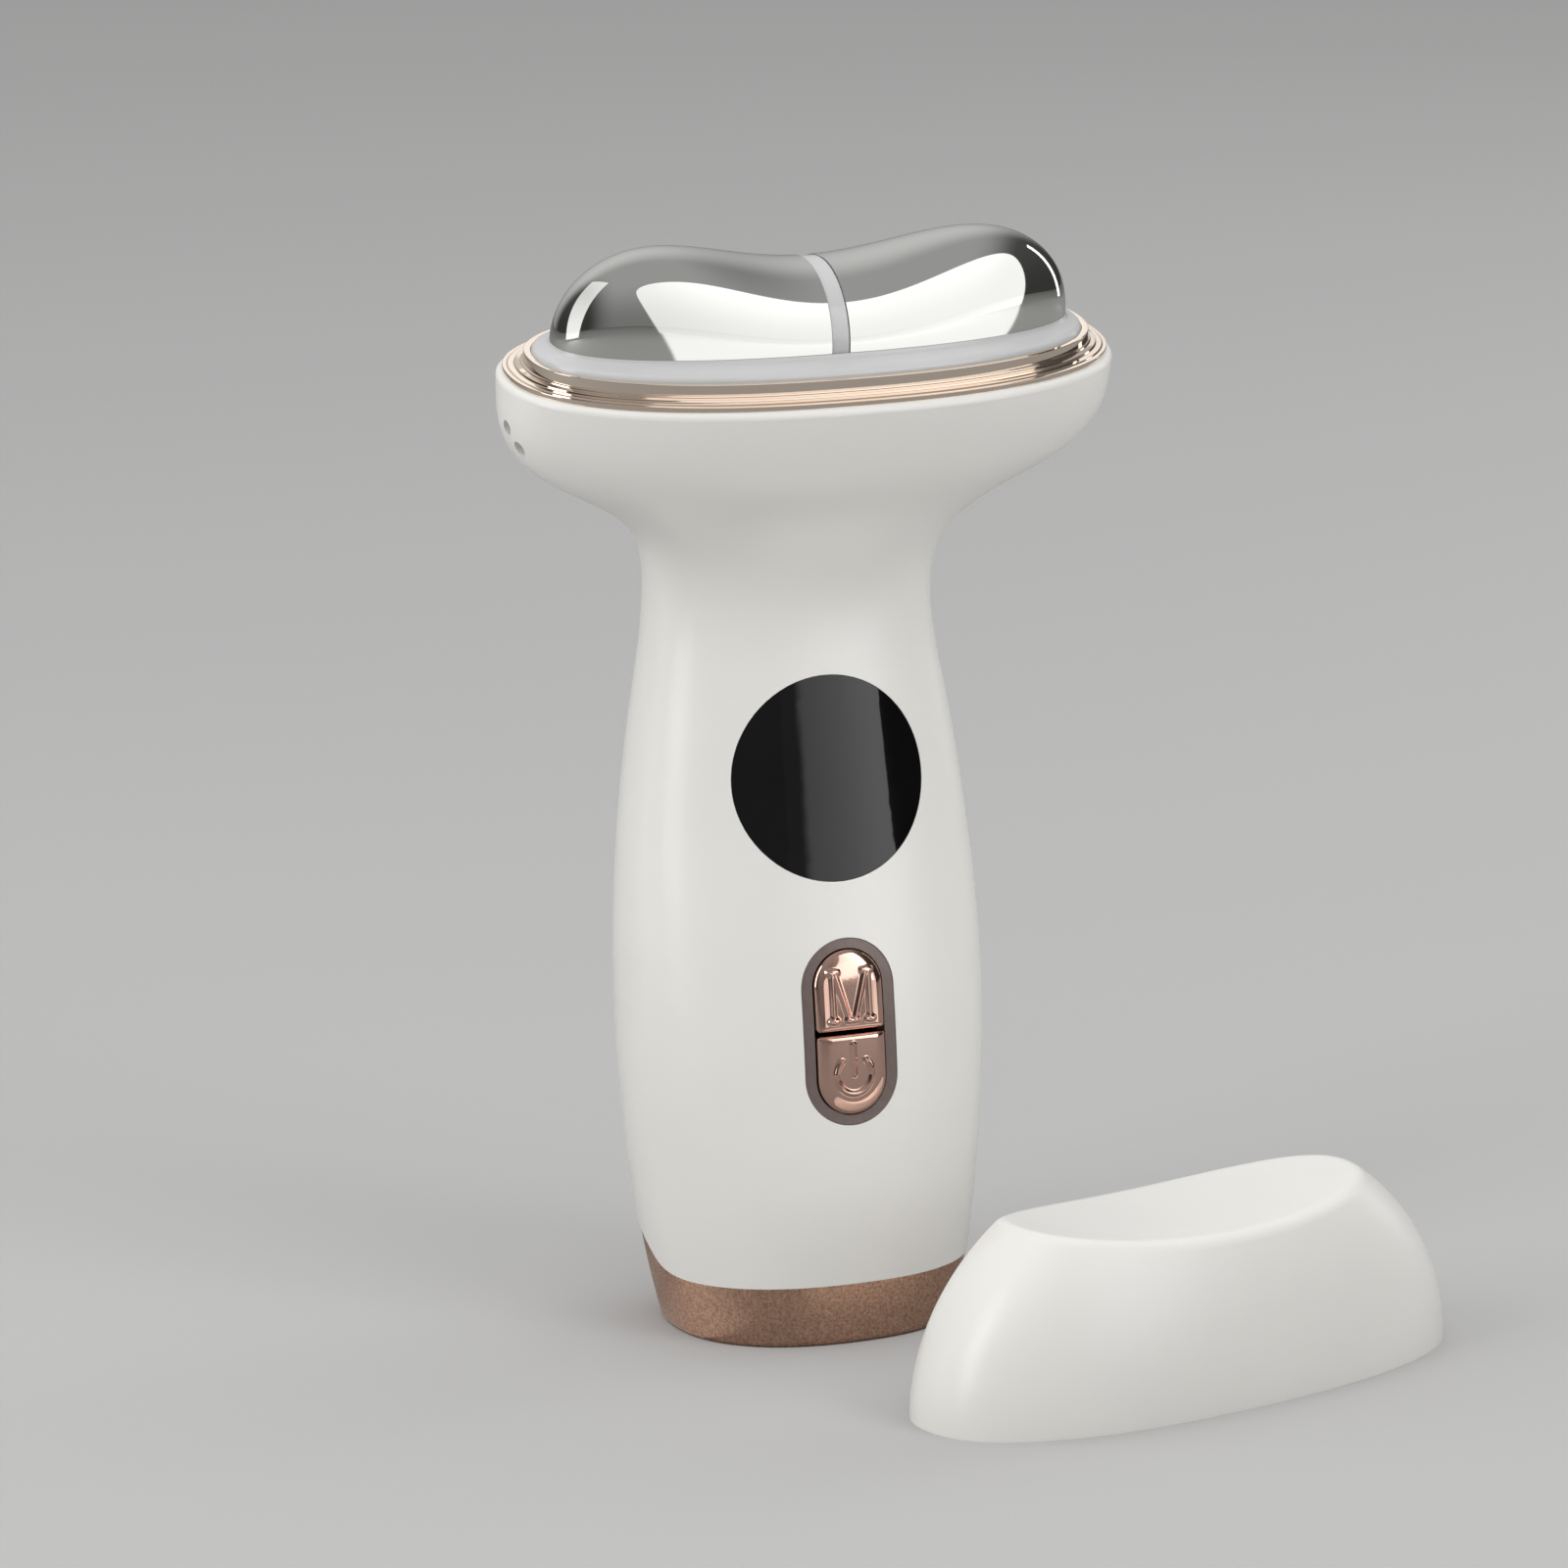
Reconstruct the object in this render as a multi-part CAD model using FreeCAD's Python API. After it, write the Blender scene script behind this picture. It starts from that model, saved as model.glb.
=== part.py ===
# Face and neck massager with its protective cap, in millimetres.
# +Z is up, the massager stands on Z = 0, its display looks towards -Y.
import FreeCAD
import Part
import math
import os
from FreeCAD import Placement, Rotation, Vector

# Housing: superellipse sections stacked from the foot to the head rim
SECTION_POWER = 2.3
OUTLINE_POINTS = 20
WALL = 2.0
# height, half width, front and back of each handle section
HANDLE_SECTIONS = (
    (0.0, 21.6, -18.5, 18.3),
    (14.0, 24.6, -18.1, 20.2),
    (30.0, 26.6, -17.3, 21.5),
    (45.0, 27.4, -16.1, 22.1),
    (60.0, 27.2, -13.9, 22.2),
    (75.0, 26.0, -10.9, 21.8),
    (90.0, 23.9, -8.2, 21.1),
    (109.0, 21.7, -6.6, 19.9),
)
# shares of the way from the neck to the rim: up, out to the sides, out to the front
HEAD_SECTIONS = (
    (0.20, 0.064, 0.16),
    (0.40, 0.378, 0.37),
    (0.60, 0.821, 0.66),
    (0.75, 0.956, 0.82),
    (0.90, 0.992, 0.94),
)

# Head plane: pitched towards the user, seat of the trim ring
HEAD_Y = -1.1
HEAD_Z = 141.8
HEAD_TILT = 12.1
RING_HALF_LENGTH = 45.8
RING_HALF_DEPTH = 19.25
RIM_MARGIN = 1.0
RIM_ROUND = 0.85

# Trim ring: bead, ledge, step, wall and lip
BEAD_HEIGHT = 0.8
BEAD_ROUND = 0.35
LEDGE_WIDTH = 2.4
STEP_HEIGHT = 0.75
STEP_WIDTH = 0.4
RING_HEIGHT = 3.1
RING_WALL = 1.1

# Light guide under the plates
FLANGE_INSET = 1.8
FLANGE_THICK = 2.0
PLINTH_HEIGHT = 3.0
GUIDE_GAP = 0.05
GUIDE_WALL = 1.4
GUIDE_CAVITY_INSET = 9.0
RIB_WIDTH = 2.5
RIB_DROP = 0.15

# Electrode plates: one saddle, cut in two by the rib
PLATE_END_INSET = 6.2
PLATE_SIDE_INSET = 7.85
PLATE_BASE = 4.1
PLATE_THICK = 1.2
PLATE_GAP = 0.15
# ridge line: share of the way from the middle to the end, and height
PLATE_RIDGE = (
    (0.0, 10.9),
    (0.303, 12.4),
    (0.556, 14.1),
    (0.732, 13.8),
    (0.859, 11.6),
    (0.944, 8.2),
)
DOME_ROWS = 15
DOME_COLUMNS = 13

# Parting of the housing and the seam of the foot
PARTING_Y = 12.0
LIP_DEPTH = 1.5
LIP_WALL = 1.0
GROOVE_WIDTH = 0.3
GROOVE_DEPTH = 0.3
SEAM_FRONT = 9.0
SEAM_BACK = 17.0
FOOT_STEP = 0.25
FOOT_WALL = 1.7
FOOT_FLOOR = 2.5
FOOT_ROUND = 0.7
SPIGOT_WALL = 1.5
SPIGOT_TOP = 22.0
FIT_GAP = 0.1

# Display window
DISPLAY_Z = 82.0
DISPLAY_DIA = 29.6
WINDOW_THICK = 1.4
WINDOW_SEAT = 2.0

# Button frame and keys
PILL_Z = 45.9
FRAME_BAND = 1.85
FRAME_END_BAND = 1.6
FRAME_SINK = 0.2
FRAME_THICK = 2.6
FRAME_FLANGE = 1.5
KEY_WIDTH = 10.6
KEY_LENGTH = 23.9
KEY_PROUD = 0.7
KEY_GAP = 0.2
KEY_SPLIT = 0.5
KEY_ROUND = 0.5
KEY_CORNER = 0.8
KEY_TRAVEL = 0.5
KEY_STEM_DIA = 3.0

# Main board and what sits on it
BOARD_DEPTH = 9.6
BOARD_WIDTH = 33.0
BOARD_LENGTH = 74.0
BOARD_THICK = 1.2
BOARD_SCREW_INSET = 3.5
MODULE_SIZE = 20.0
MODULE_THICK = 5.6
SWITCH_SIZE = 6.0
SWITCH_HEIGHT = 2.6
SWITCH_GAP = 0.12

# Screws: one size for the boards and the clamp, one for the head
SCREW_DIA = 2.0
SCREW_HEAD_DIA = 3.6
SCREW_HEAD = 1.4
SCREW_LENGTH = 4.5
BOSS_DIA = 5.0
SCREW_GAP = 0.05
PILOT_SPARE = 0.3

# Battery and its tray
CELL_WIDTH = 32.0
CELL_LENGTH = 50.0
CELL_THICK = 8.0
CELL_Z = 54.0
TRAY_WALL = 1.2
TRAY_BACK_Y = 14.4

# Vibration motor
MOTOR_DIA = 12.0
MOTOR_LENGTH = 18.0
MOTOR_Y = 7.0
MOTOR_Z = 117.0
MOTOR_X = -5.0
SHAFT_DIA = 2.0
SHAFT_GAP = 0.05
WEIGHT_RADIUS = 5.4
WEIGHT_LENGTH = 6.0
CLAMP_WALL = 1.8
CLAMP_LENGTH = 10.0
CLAMP_BACK_Y = 13.6
CLAMP_SCREW = 10.0

# Lamp board and spring contacts in the head
LED_BOARD_INSET = 3.0
LED_BOARD_RIM = 8.5
LED_BOARD_THICK = 1.2
HEAD_SCREW_SHARE = 0.44
HEAD_SCREW_INSET = 7.6
LED_COUNT = 12
LED_SIZE = 2.0
LED_HEIGHT = 0.8
CONTACT_SHARE = 0.5
CONTACT_DIA = 2.4
CONTACT_TIP_DIA = 1.4

# Sounder behind the two holes at the left end of the head
HOLE_DIA = 2.2
# inset from the head's left end, y, and drop below the head plane
HOLES = ((0.6, -1.2, 6.7), (1.5, -2.8, 9.6))
BUZZER_SEAT = (5.8, -1.6, 7.8)
HOLE_WAY = (0.95, 0.09, 0.2)
BUZZER_DIA = 5.6
BUZZER_THICK = 3.0

# Charging socket in the back of the foot
SOCKET_Z = 8.6
SOCKET_WIDTH = 8.9
SOCKET_HEIGHT = 3.2
SOCKET_LENGTH = 7.4
SOCKET_SHELL = 0.35
SOCKET_GAP = 0.25
CHARGE_BOARD_WIDTH = 16.0
CHARGE_BOARD_LENGTH = 13.0
CHARGE_BOARD_THICK = 1.0

# Protective cap, standing beside the massager on its open side
CAP_X = 35.8
CAP_Y = -51.4
CAP_YAW = 13.4
CAP_INSET = 0.3
CAP_DOME = 36.0
CAP_DIP = 24.4
CAP_TIP_RISE = 3.0
CAP_WALL = 1.9
CAP_ROUND = 2.4

PLATE_HALF_LENGTH = RING_HALF_LENGTH - PLATE_END_INSET
PLATE_HALF_DEPTH = RING_HALF_DEPTH - PLATE_SIDE_INSET
FRAME_WIDTH = KEY_WIDTH + 2 * FRAME_BAND
FRAME_LENGTH = KEY_LENGTH + 2 * FRAME_END_BAND
CONTACT_X = CONTACT_SHARE * PLATE_HALF_LENGTH
X_AXIS = Vector(1, 0, 0)
Y_AXIS = Vector(0, 1, 0)
Z_AXIS = Vector(0, 0, 1)
BIG = 90.0
HEAD = Placement(Vector(0, HEAD_Y, HEAD_Z), Rotation(X_AXIS, HEAD_TILT))
parts = {}


def outline(half_x, half_y, z=0.0):
    """Closed superellipse in a level plane."""
    points = []
    for i in range(OUTLINE_POINTS):
        angle = 2 * math.pi * i / OUTLINE_POINTS
        c = math.cos(angle)
        s = math.sin(angle)
        x = math.copysign(abs(c) ** (2 / SECTION_POWER), c) * half_x
        y = math.copysign(abs(s) ** (2 / SECTION_POWER), s) * half_y
        points.append(Vector(x, y, z))
    curve = Part.BSplineCurve()
    curve.interpolate(Points=points, PeriodicFlag=True)
    return Part.Wire([curve.toShape()])


def prism(half_x, half_y, z0, z1):
    """Upright solid on a superellipse."""
    return Part.Face(outline(half_x, half_y, z0)).extrude(Vector(0, 0, z1 - z0))


def head_prism(inset, z0, z1):
    """Upright solid of the head's own plane, stepped in from the trim ring's edge."""
    return prism(RING_HALF_LENGTH - inset, RING_HALF_DEPTH - inset, z0, z1)


def stations():
    """Half width, front point and back point of every housing section."""
    rows = [(w, Vector(0, f, z), Vector(0, b, z)) for z, w, f, b in HANDLE_SECTIONS]
    half_depth = RING_HALF_DEPTH + RIM_MARGIN
    rim_front = HEAD.multVec(Vector(0, -half_depth, 0))
    rim_back = HEAD.multVec(Vector(0, half_depth, 0))
    neck_front = rows[-1][1]
    neck_back = rows[-1][2]
    neck_half = rows[-1][0]
    rim_half = RING_HALF_LENGTH + RIM_MARGIN
    for rise, spread, out in HEAD_SECTIONS:
        half_w = neck_half + (rim_half - neck_half) * spread
        front = Vector(0, 0, 0)
        front.y = neck_front.y + (rim_front.y - neck_front.y) * out
        front.z = neck_front.z + (rim_front.z - neck_front.z) * rise
        back = Vector(0, 0, 0)
        back.y = neck_back.y + (rim_back.y - neck_back.y) * rise ** 1.5
        back.z = neck_back.z + (rim_back.z - neck_back.z) * rise
        rows.append((half_w, front, back))
    rows.append((rim_half, rim_front, rim_back))
    return rows


def left_end(inset, y, drop):
    """Point near the left end of the head."""
    return Vector(inset - RING_HALF_LENGTH - RIM_MARGIN, y, HEAD_Z - drop)


def housing(inset):
    """The whole T-shaped body, stepped in by a distance from its outer skin."""
    wires = []
    for half_w, front, back in stations():
        reach = back.sub(front)
        wire = outline(half_w - inset, reach.Length / 2 - inset)
        lean = math.degrees(math.atan2(reach.z, reach.y))
        wire.Placement = Placement(front.add(back) * 0.5, Rotation(X_AXIS, lean))
        wires.append(wire)
    return Part.makeLoft(wires, True, False)


def box(x0, x1, y0, y1, z0, z1):
    return Part.makeBox(x1 - x0, y1 - y0, z1 - z0, Vector(x0, y0, z0))


def rod(dia, start, end):
    way = end.sub(start)
    return Part.makeCylinder(dia / 2, way.Length, start, way)


def stadium(width, length, z0, z1):
    """Upright pill, long way along Y."""
    straight = length - width
    body = box(-width / 2, width / 2, -straight / 2, straight / 2, z0, z1)
    for side in (-1, 1):
        middle = Vector(0, side * straight / 2, z0)
        body = body.fuse(Part.makeCylinder(width / 2, z1 - z0, middle))
    return body.removeSplitter()


def placed(shape, placement):
    moved = shape.copy()
    moved.Placement = placement.multiply(moved.Placement)
    return moved


skin = housing(0)


def front_point(z):
    """Where the outer skin crosses the middle plane at a height."""
    line = Part.makeLine(Vector(0, -BIG, z), Vector(0, 8, z))
    hit = skin.common(line)
    return Vector(0, hit.BoundBox.YMin, z)


def panel(z, reach):
    """Frame on the front skin: local z points out of the skin, local y up it."""
    low = front_point(z - reach)
    high = front_point(z + reach)
    lean = math.degrees(math.atan2(high.y - low.y, high.z - low.z))
    return Placement(front_point(z), Rotation(X_AXIS, 90 - lean))


DISPLAY = panel(DISPLAY_Z, 6)
PILL = panel(PILL_Z, 10)
board_low = front_point(PILL_Z)
board_high = front_point(DISPLAY_Z)
board_lean = math.degrees(math.atan2(board_high.y - board_low.y, board_high.z - board_low.z))
BOARD = Placement(board_low.add(board_high) * 0.5, Rotation(X_AXIS, 90 - board_lean))

# Outer skins stepped to the depths that the pieces need
spigot_in = FOOT_STEP + FOOT_WALL + FIT_GAP
skin_half = housing(WALL / 2)
skin_wall = housing(WALL)
skin_foot = housing(FOOT_STEP)
skin_foot_inner = housing(FOOT_STEP + FOOT_WALL)
skin_spigot = housing(spigot_in)
skin_spigot_inner = housing(spigot_in + SPIGOT_WALL)

# Seam between housing and foot: level in front, climbing along the sides
seam_poles = [
    Vector(0, -BIG, SEAM_FRONT),
    Vector(0, -20, SEAM_FRONT),
    Vector(0, -4.5, SEAM_FRONT - 0.4),
    Vector(0, 0.5, SEAM_FRONT + 1.6),
    Vector(0, 5, SEAM_FRONT + 5.2),
    Vector(0, 13, SEAM_BACK),
    Vector(0, BIG, SEAM_BACK),
]
seam_curve = Part.BSplineCurve()
seam_curve.buildFromPoles(seam_poles)
seam_edges = [seam_curve.toShape()]
corner_back = Vector(0, BIG, -10)
corner_front = Vector(0, -BIG, -10)
seam_edges.append(Part.makeLine(seam_poles[-1], corner_back))
seam_edges.append(Part.makeLine(corner_back, corner_front))
seam_edges.append(Part.makeLine(corner_front, seam_poles[0]))
below_seam = Part.Face(Part.Wire(seam_edges)).extrude(Vector(2 * BIG, 0, 0))
below_seam.translate(Vector(-BIG, 0, 0))

# Housing blank: skin above the seam, spigot inside the foot, ledge for the head module
top_face = max(skin.Faces, key=lambda f: f.CenterOfMass.z)
rounded = skin.makeFillet(RIM_ROUND, top_face.Edges)
spigot = skin_spigot.common(box(-BIG, BIG, -BIG, BIG, FOOT_FLOOR + 0.6, SPIGOT_TOP))
blank = rounded.cut(below_seam).fuse(spigot)
cavity_top = skin_wall.common(box(-BIG, BIG, -BIG, BIG, SPIGOT_TOP, 3 * BIG))
cavity_low = skin_spigot_inner.common(box(-BIG, BIG, -BIG, BIG, -1, SPIGOT_TOP))
blank = blank.cut(cavity_top).cut(cavity_low)
ledge = head_prism(0.4, -FLANGE_THICK - 1.8, -FLANGE_THICK - FIT_GAP / 2)
ledge = ledge.cut(head_prism(LED_BOARD_INSET - 0.3, -20, 20))
ledge = placed(ledge, HEAD).common(skin_half)
blank = blank.fuse(ledge)
groove = skin.common(box(-BIG, BIG, PARTING_Y - GROOVE_WIDTH / 2, PARTING_Y + GROOVE_WIDTH / 2, 0, 3 * BIG))
groove = groove.cut(housing(GROOVE_DEPTH).common(box(-BIG, BIG, -BIG, BIG, -1, 3 * BIG)))
blank = blank.cut(groove)

# Front shell
front_room = box(-BIG, BIG, -BIG, PARTING_Y, -1, 3 * BIG)
front = blank.common(front_room)
window_room = placed(Part.makeCylinder(DISPLAY_DIA / 2 + FIT_GAP, 16, Vector(0, 0, -8)), DISPLAY)
window_pocket = window_room.cut(housing(WINDOW_THICK + FIT_GAP / 2))
sight = Part.makeCylinder(DISPLAY_DIA / 2 - WINDOW_SEAT, 16, Vector(0, 0, -8))
pill_hole = stadium(FRAME_WIDTH + 2 * FIT_GAP, FRAME_LENGTH + 2 * FIT_GAP, -8, 8)
front_cuts = [window_pocket, placed(sight, DISPLAY), placed(pill_hole, PILL)]

board_face = -BOARD_DEPTH
screw_spots = []
for sx in (-1, 1):
    for sy in (-1, 1):
        spot_x = BOARD_WIDTH / 2 - BOARD_SCREW_INSET
        spot_y = BOARD_LENGTH / 2 - BOARD_SCREW_INSET
        screw_spots.append(Vector(sx * spot_x, sy * spot_y, 0))
bosses = []
for spot in screw_spots:
    foot_of_boss = spot.add(Vector(0, 0, board_face))
    boss = Part.makeCylinder(BOSS_DIA / 2, 16, foot_of_boss)
    bosses.append(placed(boss, BOARD))
    reach = SCREW_LENGTH - BOARD_THICK + PILOT_SPARE
    pilot = Part.makeCylinder(SCREW_DIA / 2 + SCREW_GAP, reach, foot_of_boss)
    front_cuts.append(placed(pilot, BOARD))

inward = Vector(*HOLE_WAY)
inward.normalize()
for hole in HOLES:
    start = left_end(*hole)
    front_cuts.append(rod(HOLE_DIA, start.sub(inward * 3), start.add(inward * 4)))
buzzer_from = left_end(*BUZZER_SEAT)
buzzer_to = buzzer_from.add(inward * BUZZER_THICK)
bosses.append(rod(BUZZER_DIA + 2, buzzer_from.sub(inward * 9), buzzer_to))
front_cuts.append(rod(BUZZER_DIA + 2 * FIT_GAP, buzzer_from.sub(inward), buzzer_to.add(inward)))
boss_limit = skin_half
front = front.fuse(Part.makeCompound(bosses).common(boss_limit).Solids).cut(front_cuts)
parts["front_shell"] = front

# Rear shell with a lip that runs inside the front shell
rear_room = box(-BIG, BIG, PARTING_Y, BIG, -1, 3 * BIG)
rear = blank.common(rear_room)
lip_core = housing(WALL + FIT_GAP / 2 + LIP_WALL)
lip_low = SPIGOT_TOP + 2
lip_high = HANDLE_SECTIONS[-1][0]
lip = housing(WALL + FIT_GAP / 2)
lip = lip.common(box(-BIG, BIG, PARTING_Y - LIP_DEPTH, PARTING_Y + 2, lip_low, lip_high)).cut(lip_core)
root = skin_half.common(box(-BIG, BIG, PARTING_Y, PARTING_Y + 2, lip_low, lip_high)).cut(lip_core)
posts = []
rear_cuts = []
for sx in (-1, 1):
    for sz in (-1, 1):
        base = Vector(sx * CELL_WIDTH / 3, TRAY_BACK_Y, CELL_Z + sz * CELL_LENGTH / 3)
        posts.append(Part.makeCylinder(BOSS_DIA / 2, 16, base, Y_AXIS))
for sz in (-1, 1):
    base = Vector(MOTOR_X, CLAMP_BACK_Y, MOTOR_Z + sz * CLAMP_SCREW)
    posts.append(Part.makeCylinder(BOSS_DIA / 2, 16, base, Y_AXIS))
    reach = SCREW_LENGTH - CLAMP_WALL + PILOT_SPARE
    rear_cuts.append(Part.makeCylinder(SCREW_DIA / 2 + SCREW_GAP, reach, base, Y_AXIS))
posts = Part.makeCompound(posts).common(boss_limit).Solids
rear = rear.fuse([lip, root] + posts)
socket_y = skin_foot.common(Part.makeLine(Vector(0, 0, SOCKET_Z), Vector(0, BIG, SOCKET_Z))).BoundBox.YMax
notch_half = SOCKET_WIDTH / 2 + 2
notch = box(-notch_half, notch_half, PARTING_Y - 1, BIG, 0, SOCKET_Z + SOCKET_HEIGHT / 2 + 1)
rear_cuts.append(notch.common(skin_foot_inner))
rear = rear.cut(rear_cuts)
parts["rear_shell"] = rear

# Foot cap with its socket opening and two posts for the charge board
socket_frame = Placement(Vector(0, socket_y, SOCKET_Z), Rotation(X_AXIS, -90))
turn_flat = Placement(Vector(0, 0, 0), Rotation(Z_AXIS, 90))


def socket_pill(grow, depth, out):
    """Flat-lying pill of the socket's outline, running into the foot."""
    body = stadium(SOCKET_HEIGHT + 2 * grow, SOCKET_WIDTH + 2 * grow, -depth, out)
    return placed(placed(body, turn_flat), socket_frame)


foot_room = below_seam.copy()
foot_room.translate(Vector(0, 0, -FIT_GAP))
foot = skin_foot.common(foot_room)
foot_base = min(foot.Faces, key=lambda f: f.CenterOfMass.z)
foot = foot.makeFillet(FOOT_ROUND, foot_base.Edges)
foot = foot.cut(skin_foot_inner.common(box(-BIG, BIG, -BIG, BIG, FOOT_FLOOR, BIG)))
foot = foot.cut(socket_pill(SOCKET_GAP, FOOT_WALL + 3, 5))
charge_top = SOCKET_Z - SOCKET_HEIGHT / 2
charge_bottom = charge_top - CHARGE_BOARD_THICK
charge_back = socket_y - FOOT_WALL - SPIGOT_WALL - 1.8
charge_front = charge_back - CHARGE_BOARD_LENGTH
charge_middle = (charge_back + charge_front) / 2
for sx in (-1, 1):
    spot = Vector(sx * (CHARGE_BOARD_WIDTH / 2 - 2.5), charge_middle, FOOT_FLOOR - 0.5)
    foot = foot.fuse(rod(4.0, spot, Vector(spot.x, spot.y, charge_bottom)))
parts["foot_cap"] = foot

# Trim ring
bead = head_prism(0, 0, BEAD_HEIGHT)
bead_top = max(bead.Faces, key=lambda f: f.CenterOfMass.z)
bead = bead.makeFillet(BEAD_ROUND, bead_top.Edges)
step = head_prism(LEDGE_WIDTH, 0, BEAD_HEIGHT + STEP_HEIGHT)
wall_inset = LEDGE_WIDTH + STEP_WIDTH
wall = head_prism(wall_inset, 0, RING_HEIGHT)
wall_top = max(wall.Faces, key=lambda f: f.CenterOfMass.z)
wall = wall.makeFillet(BEAD_ROUND, wall_top.Edges)
ring = bead.fuse(step).fuse(wall)
plinth_inset = wall_inset + RING_WALL
ring = ring.cut(head_prism(plinth_inset, -5, 20))
parts["trim_ring"] = placed(ring, HEAD)


def ridge_curve(drop):
    """Ridge line of the saddle from the middle to its round end, stepped in by a distance."""
    half_length = PLATE_HALF_LENGTH - drop
    points = [Vector(share * half_length, 0, h - drop) for share, h in PLATE_RIDGE]
    points.append(Vector(half_length, 0, 0))
    curve = Part.BSplineCurve()
    curve.interpolate(Points=points, InitialTangent=X_AXIS, FinalTangent=Vector(0, 0, -1))
    return curve


def saddle(drop):
    """Solid under half of the saddle surface: arches along the ridge that shrink to a round end."""
    curve = ridge_curve(drop)
    half_length = PLATE_HALF_LENGTH - drop
    rows = []
    for i in range(DOME_ROWS):
        share = i / (DOME_ROWS - 1)
        along = curve.FirstParameter + (curve.LastParameter - curve.FirstParameter) * share
        ridge = curve.value(along)
        near = min(1.0, max(0.0, ridge.x / half_length))
        half_y = (PLATE_HALF_DEPTH - drop) * (1 - near ** SECTION_POWER) ** (1 / SECTION_POWER)
        row = []
        for j in range(DOME_COLUMNS):
            angle = math.pi * j / (DOME_COLUMNS - 1)
            row.append(Vector(ridge.x, -half_y * math.cos(angle), ridge.z * math.sin(angle)))
        rows.append(row)
    surface = Part.BSplineSurface()
    surface.interpolate(rows)
    dome = surface.toShape()
    foot_line = Part.makeLine(rows[0][0], rows[0][-1])
    flat_edges = [e for e in dome.Edges if abs(e.BoundBox.ZMax) < 1e-4 and e.Length > 1]
    arch_edges = [e for e in dome.Edges if e.BoundBox.XMax < 1e-4]
    base = Part.Face(Part.Wire(Part.__sortEdges__(flat_edges + [foot_line])))
    end = Part.Face(Part.Wire(Part.__sortEdges__(arch_edges + [foot_line])))
    shell = Part.makeShell([dome, base, end])
    shell.sewShape()
    half = Part.Solid(shell)
    half.translate(Vector(0, 0, PLATE_BASE))
    return half


def both_halves(half):
    other = half.mirror(Vector(0, 0, 0), X_AXIS)
    return half.fuse(other).removeSplitter()


# Electrode plates
plate_half = saddle(0).cut(saddle(PLATE_THICK))
plate_start = RIB_WIDTH / 2 + PLATE_GAP
plate = plate_half.cut(box(-1, plate_start, -BIG, BIG, -5, BIG))
parts["right_electrode"] = placed(plate, HEAD)
parts["left_electrode"] = placed(plate.mirror(Vector(0, 0, 0), X_AXIS), HEAD)

# Light guide: flange, plinth with a sloping rim, cores under the plates and the rib
plinth_edge = plinth_inset + GUIDE_GAP
guide = head_prism(FLANGE_INSET, -FLANGE_THICK, -GUIDE_GAP)
guide = guide.fuse(head_prism(plinth_edge, -FLANGE_THICK, PLINTH_HEIGHT))
slope_low = outline(RING_HALF_LENGTH - plinth_edge, RING_HALF_DEPTH - plinth_edge, PLINTH_HEIGHT)
slope_high = outline(PLATE_HALF_LENGTH + 0.3, PLATE_HALF_DEPTH + 0.3, PLATE_BASE - GUIDE_GAP)
guide = guide.fuse(Part.makeLoft([slope_low, slope_high], True, True))
core_drop = PLATE_THICK + GUIDE_GAP
core = both_halves(saddle(core_drop))
core.translate(Vector(0, 0, -GUIDE_GAP))
rib = both_halves(saddle(RIB_DROP))
rib.translate(Vector(0, 0, -GUIDE_GAP))
rib = rib.common(box(-RIB_WIDTH / 2, RIB_WIDTH / 2, -BIG, BIG, 0, BIG))
guide = guide.fuse([core, rib])
hollow = both_halves(saddle(core_drop + GUIDE_WALL))
hollow.translate(Vector(0, 0, -GUIDE_GAP))
guide_cuts = [hollow, head_prism(GUIDE_CAVITY_INSET, -5, PLATE_BASE)]
led_top = -FLANGE_THICK - GUIDE_GAP
led_bottom = led_top - LED_BOARD_THICK
head_spots = []
for sx in (-1, 1):
    for sy in (-1, 1):
        spot_y = RING_HALF_DEPTH - HEAD_SCREW_INSET
        head_spots.append(Vector(sx * HEAD_SCREW_SHARE * RING_HALF_LENGTH, sy * spot_y, 0))
for spot in head_spots:
    pilot = Part.makeCylinder(SCREW_DIA / 2 + SCREW_GAP, 6, spot.add(Vector(0, 0, led_bottom)))
    guide_cuts.append(pilot)
for sx in (-1, 1):
    hole = Part.makeCylinder(CONTACT_TIP_DIA / 2 + 0.2, 40, Vector(sx * CONTACT_X, 0, 0))
    guide_cuts.append(hole)
parts["light_guide"] = placed(guide.cut(guide_cuts), HEAD)

# Lamp board, its lamps and screws
led_board = head_prism(LED_BOARD_INSET, led_bottom, led_top)
led_hole = head_prism(LED_BOARD_INSET + LED_BOARD_RIM, led_bottom - 1, led_top + 1)
bridge = box(-BIG, BIG, -3, 3, led_bottom, led_top)
led_board = led_board.cut(led_hole.cut(bridge))
head_screws = []
for spot in head_spots:
    clearance = Part.makeCylinder(SCREW_DIA / 2 + SCREW_GAP, 6, spot.add(Vector(0, 0, led_bottom - 1)))
    led_board = led_board.cut(clearance)
    head = Part.makeCylinder(SCREW_HEAD_DIA / 2, SCREW_HEAD, spot.add(Vector(0, 0, led_bottom - SCREW_HEAD)))
    shank = Part.makeCylinder(SCREW_DIA / 2, SCREW_LENGTH, spot.add(Vector(0, 0, led_bottom)))
    head_screws.append(head.fuse(shank))
parts["led_board"] = placed(led_board, HEAD)
parts["head_screws"] = placed(Part.makeCompound(head_screws), HEAD)
lamps = []
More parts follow.
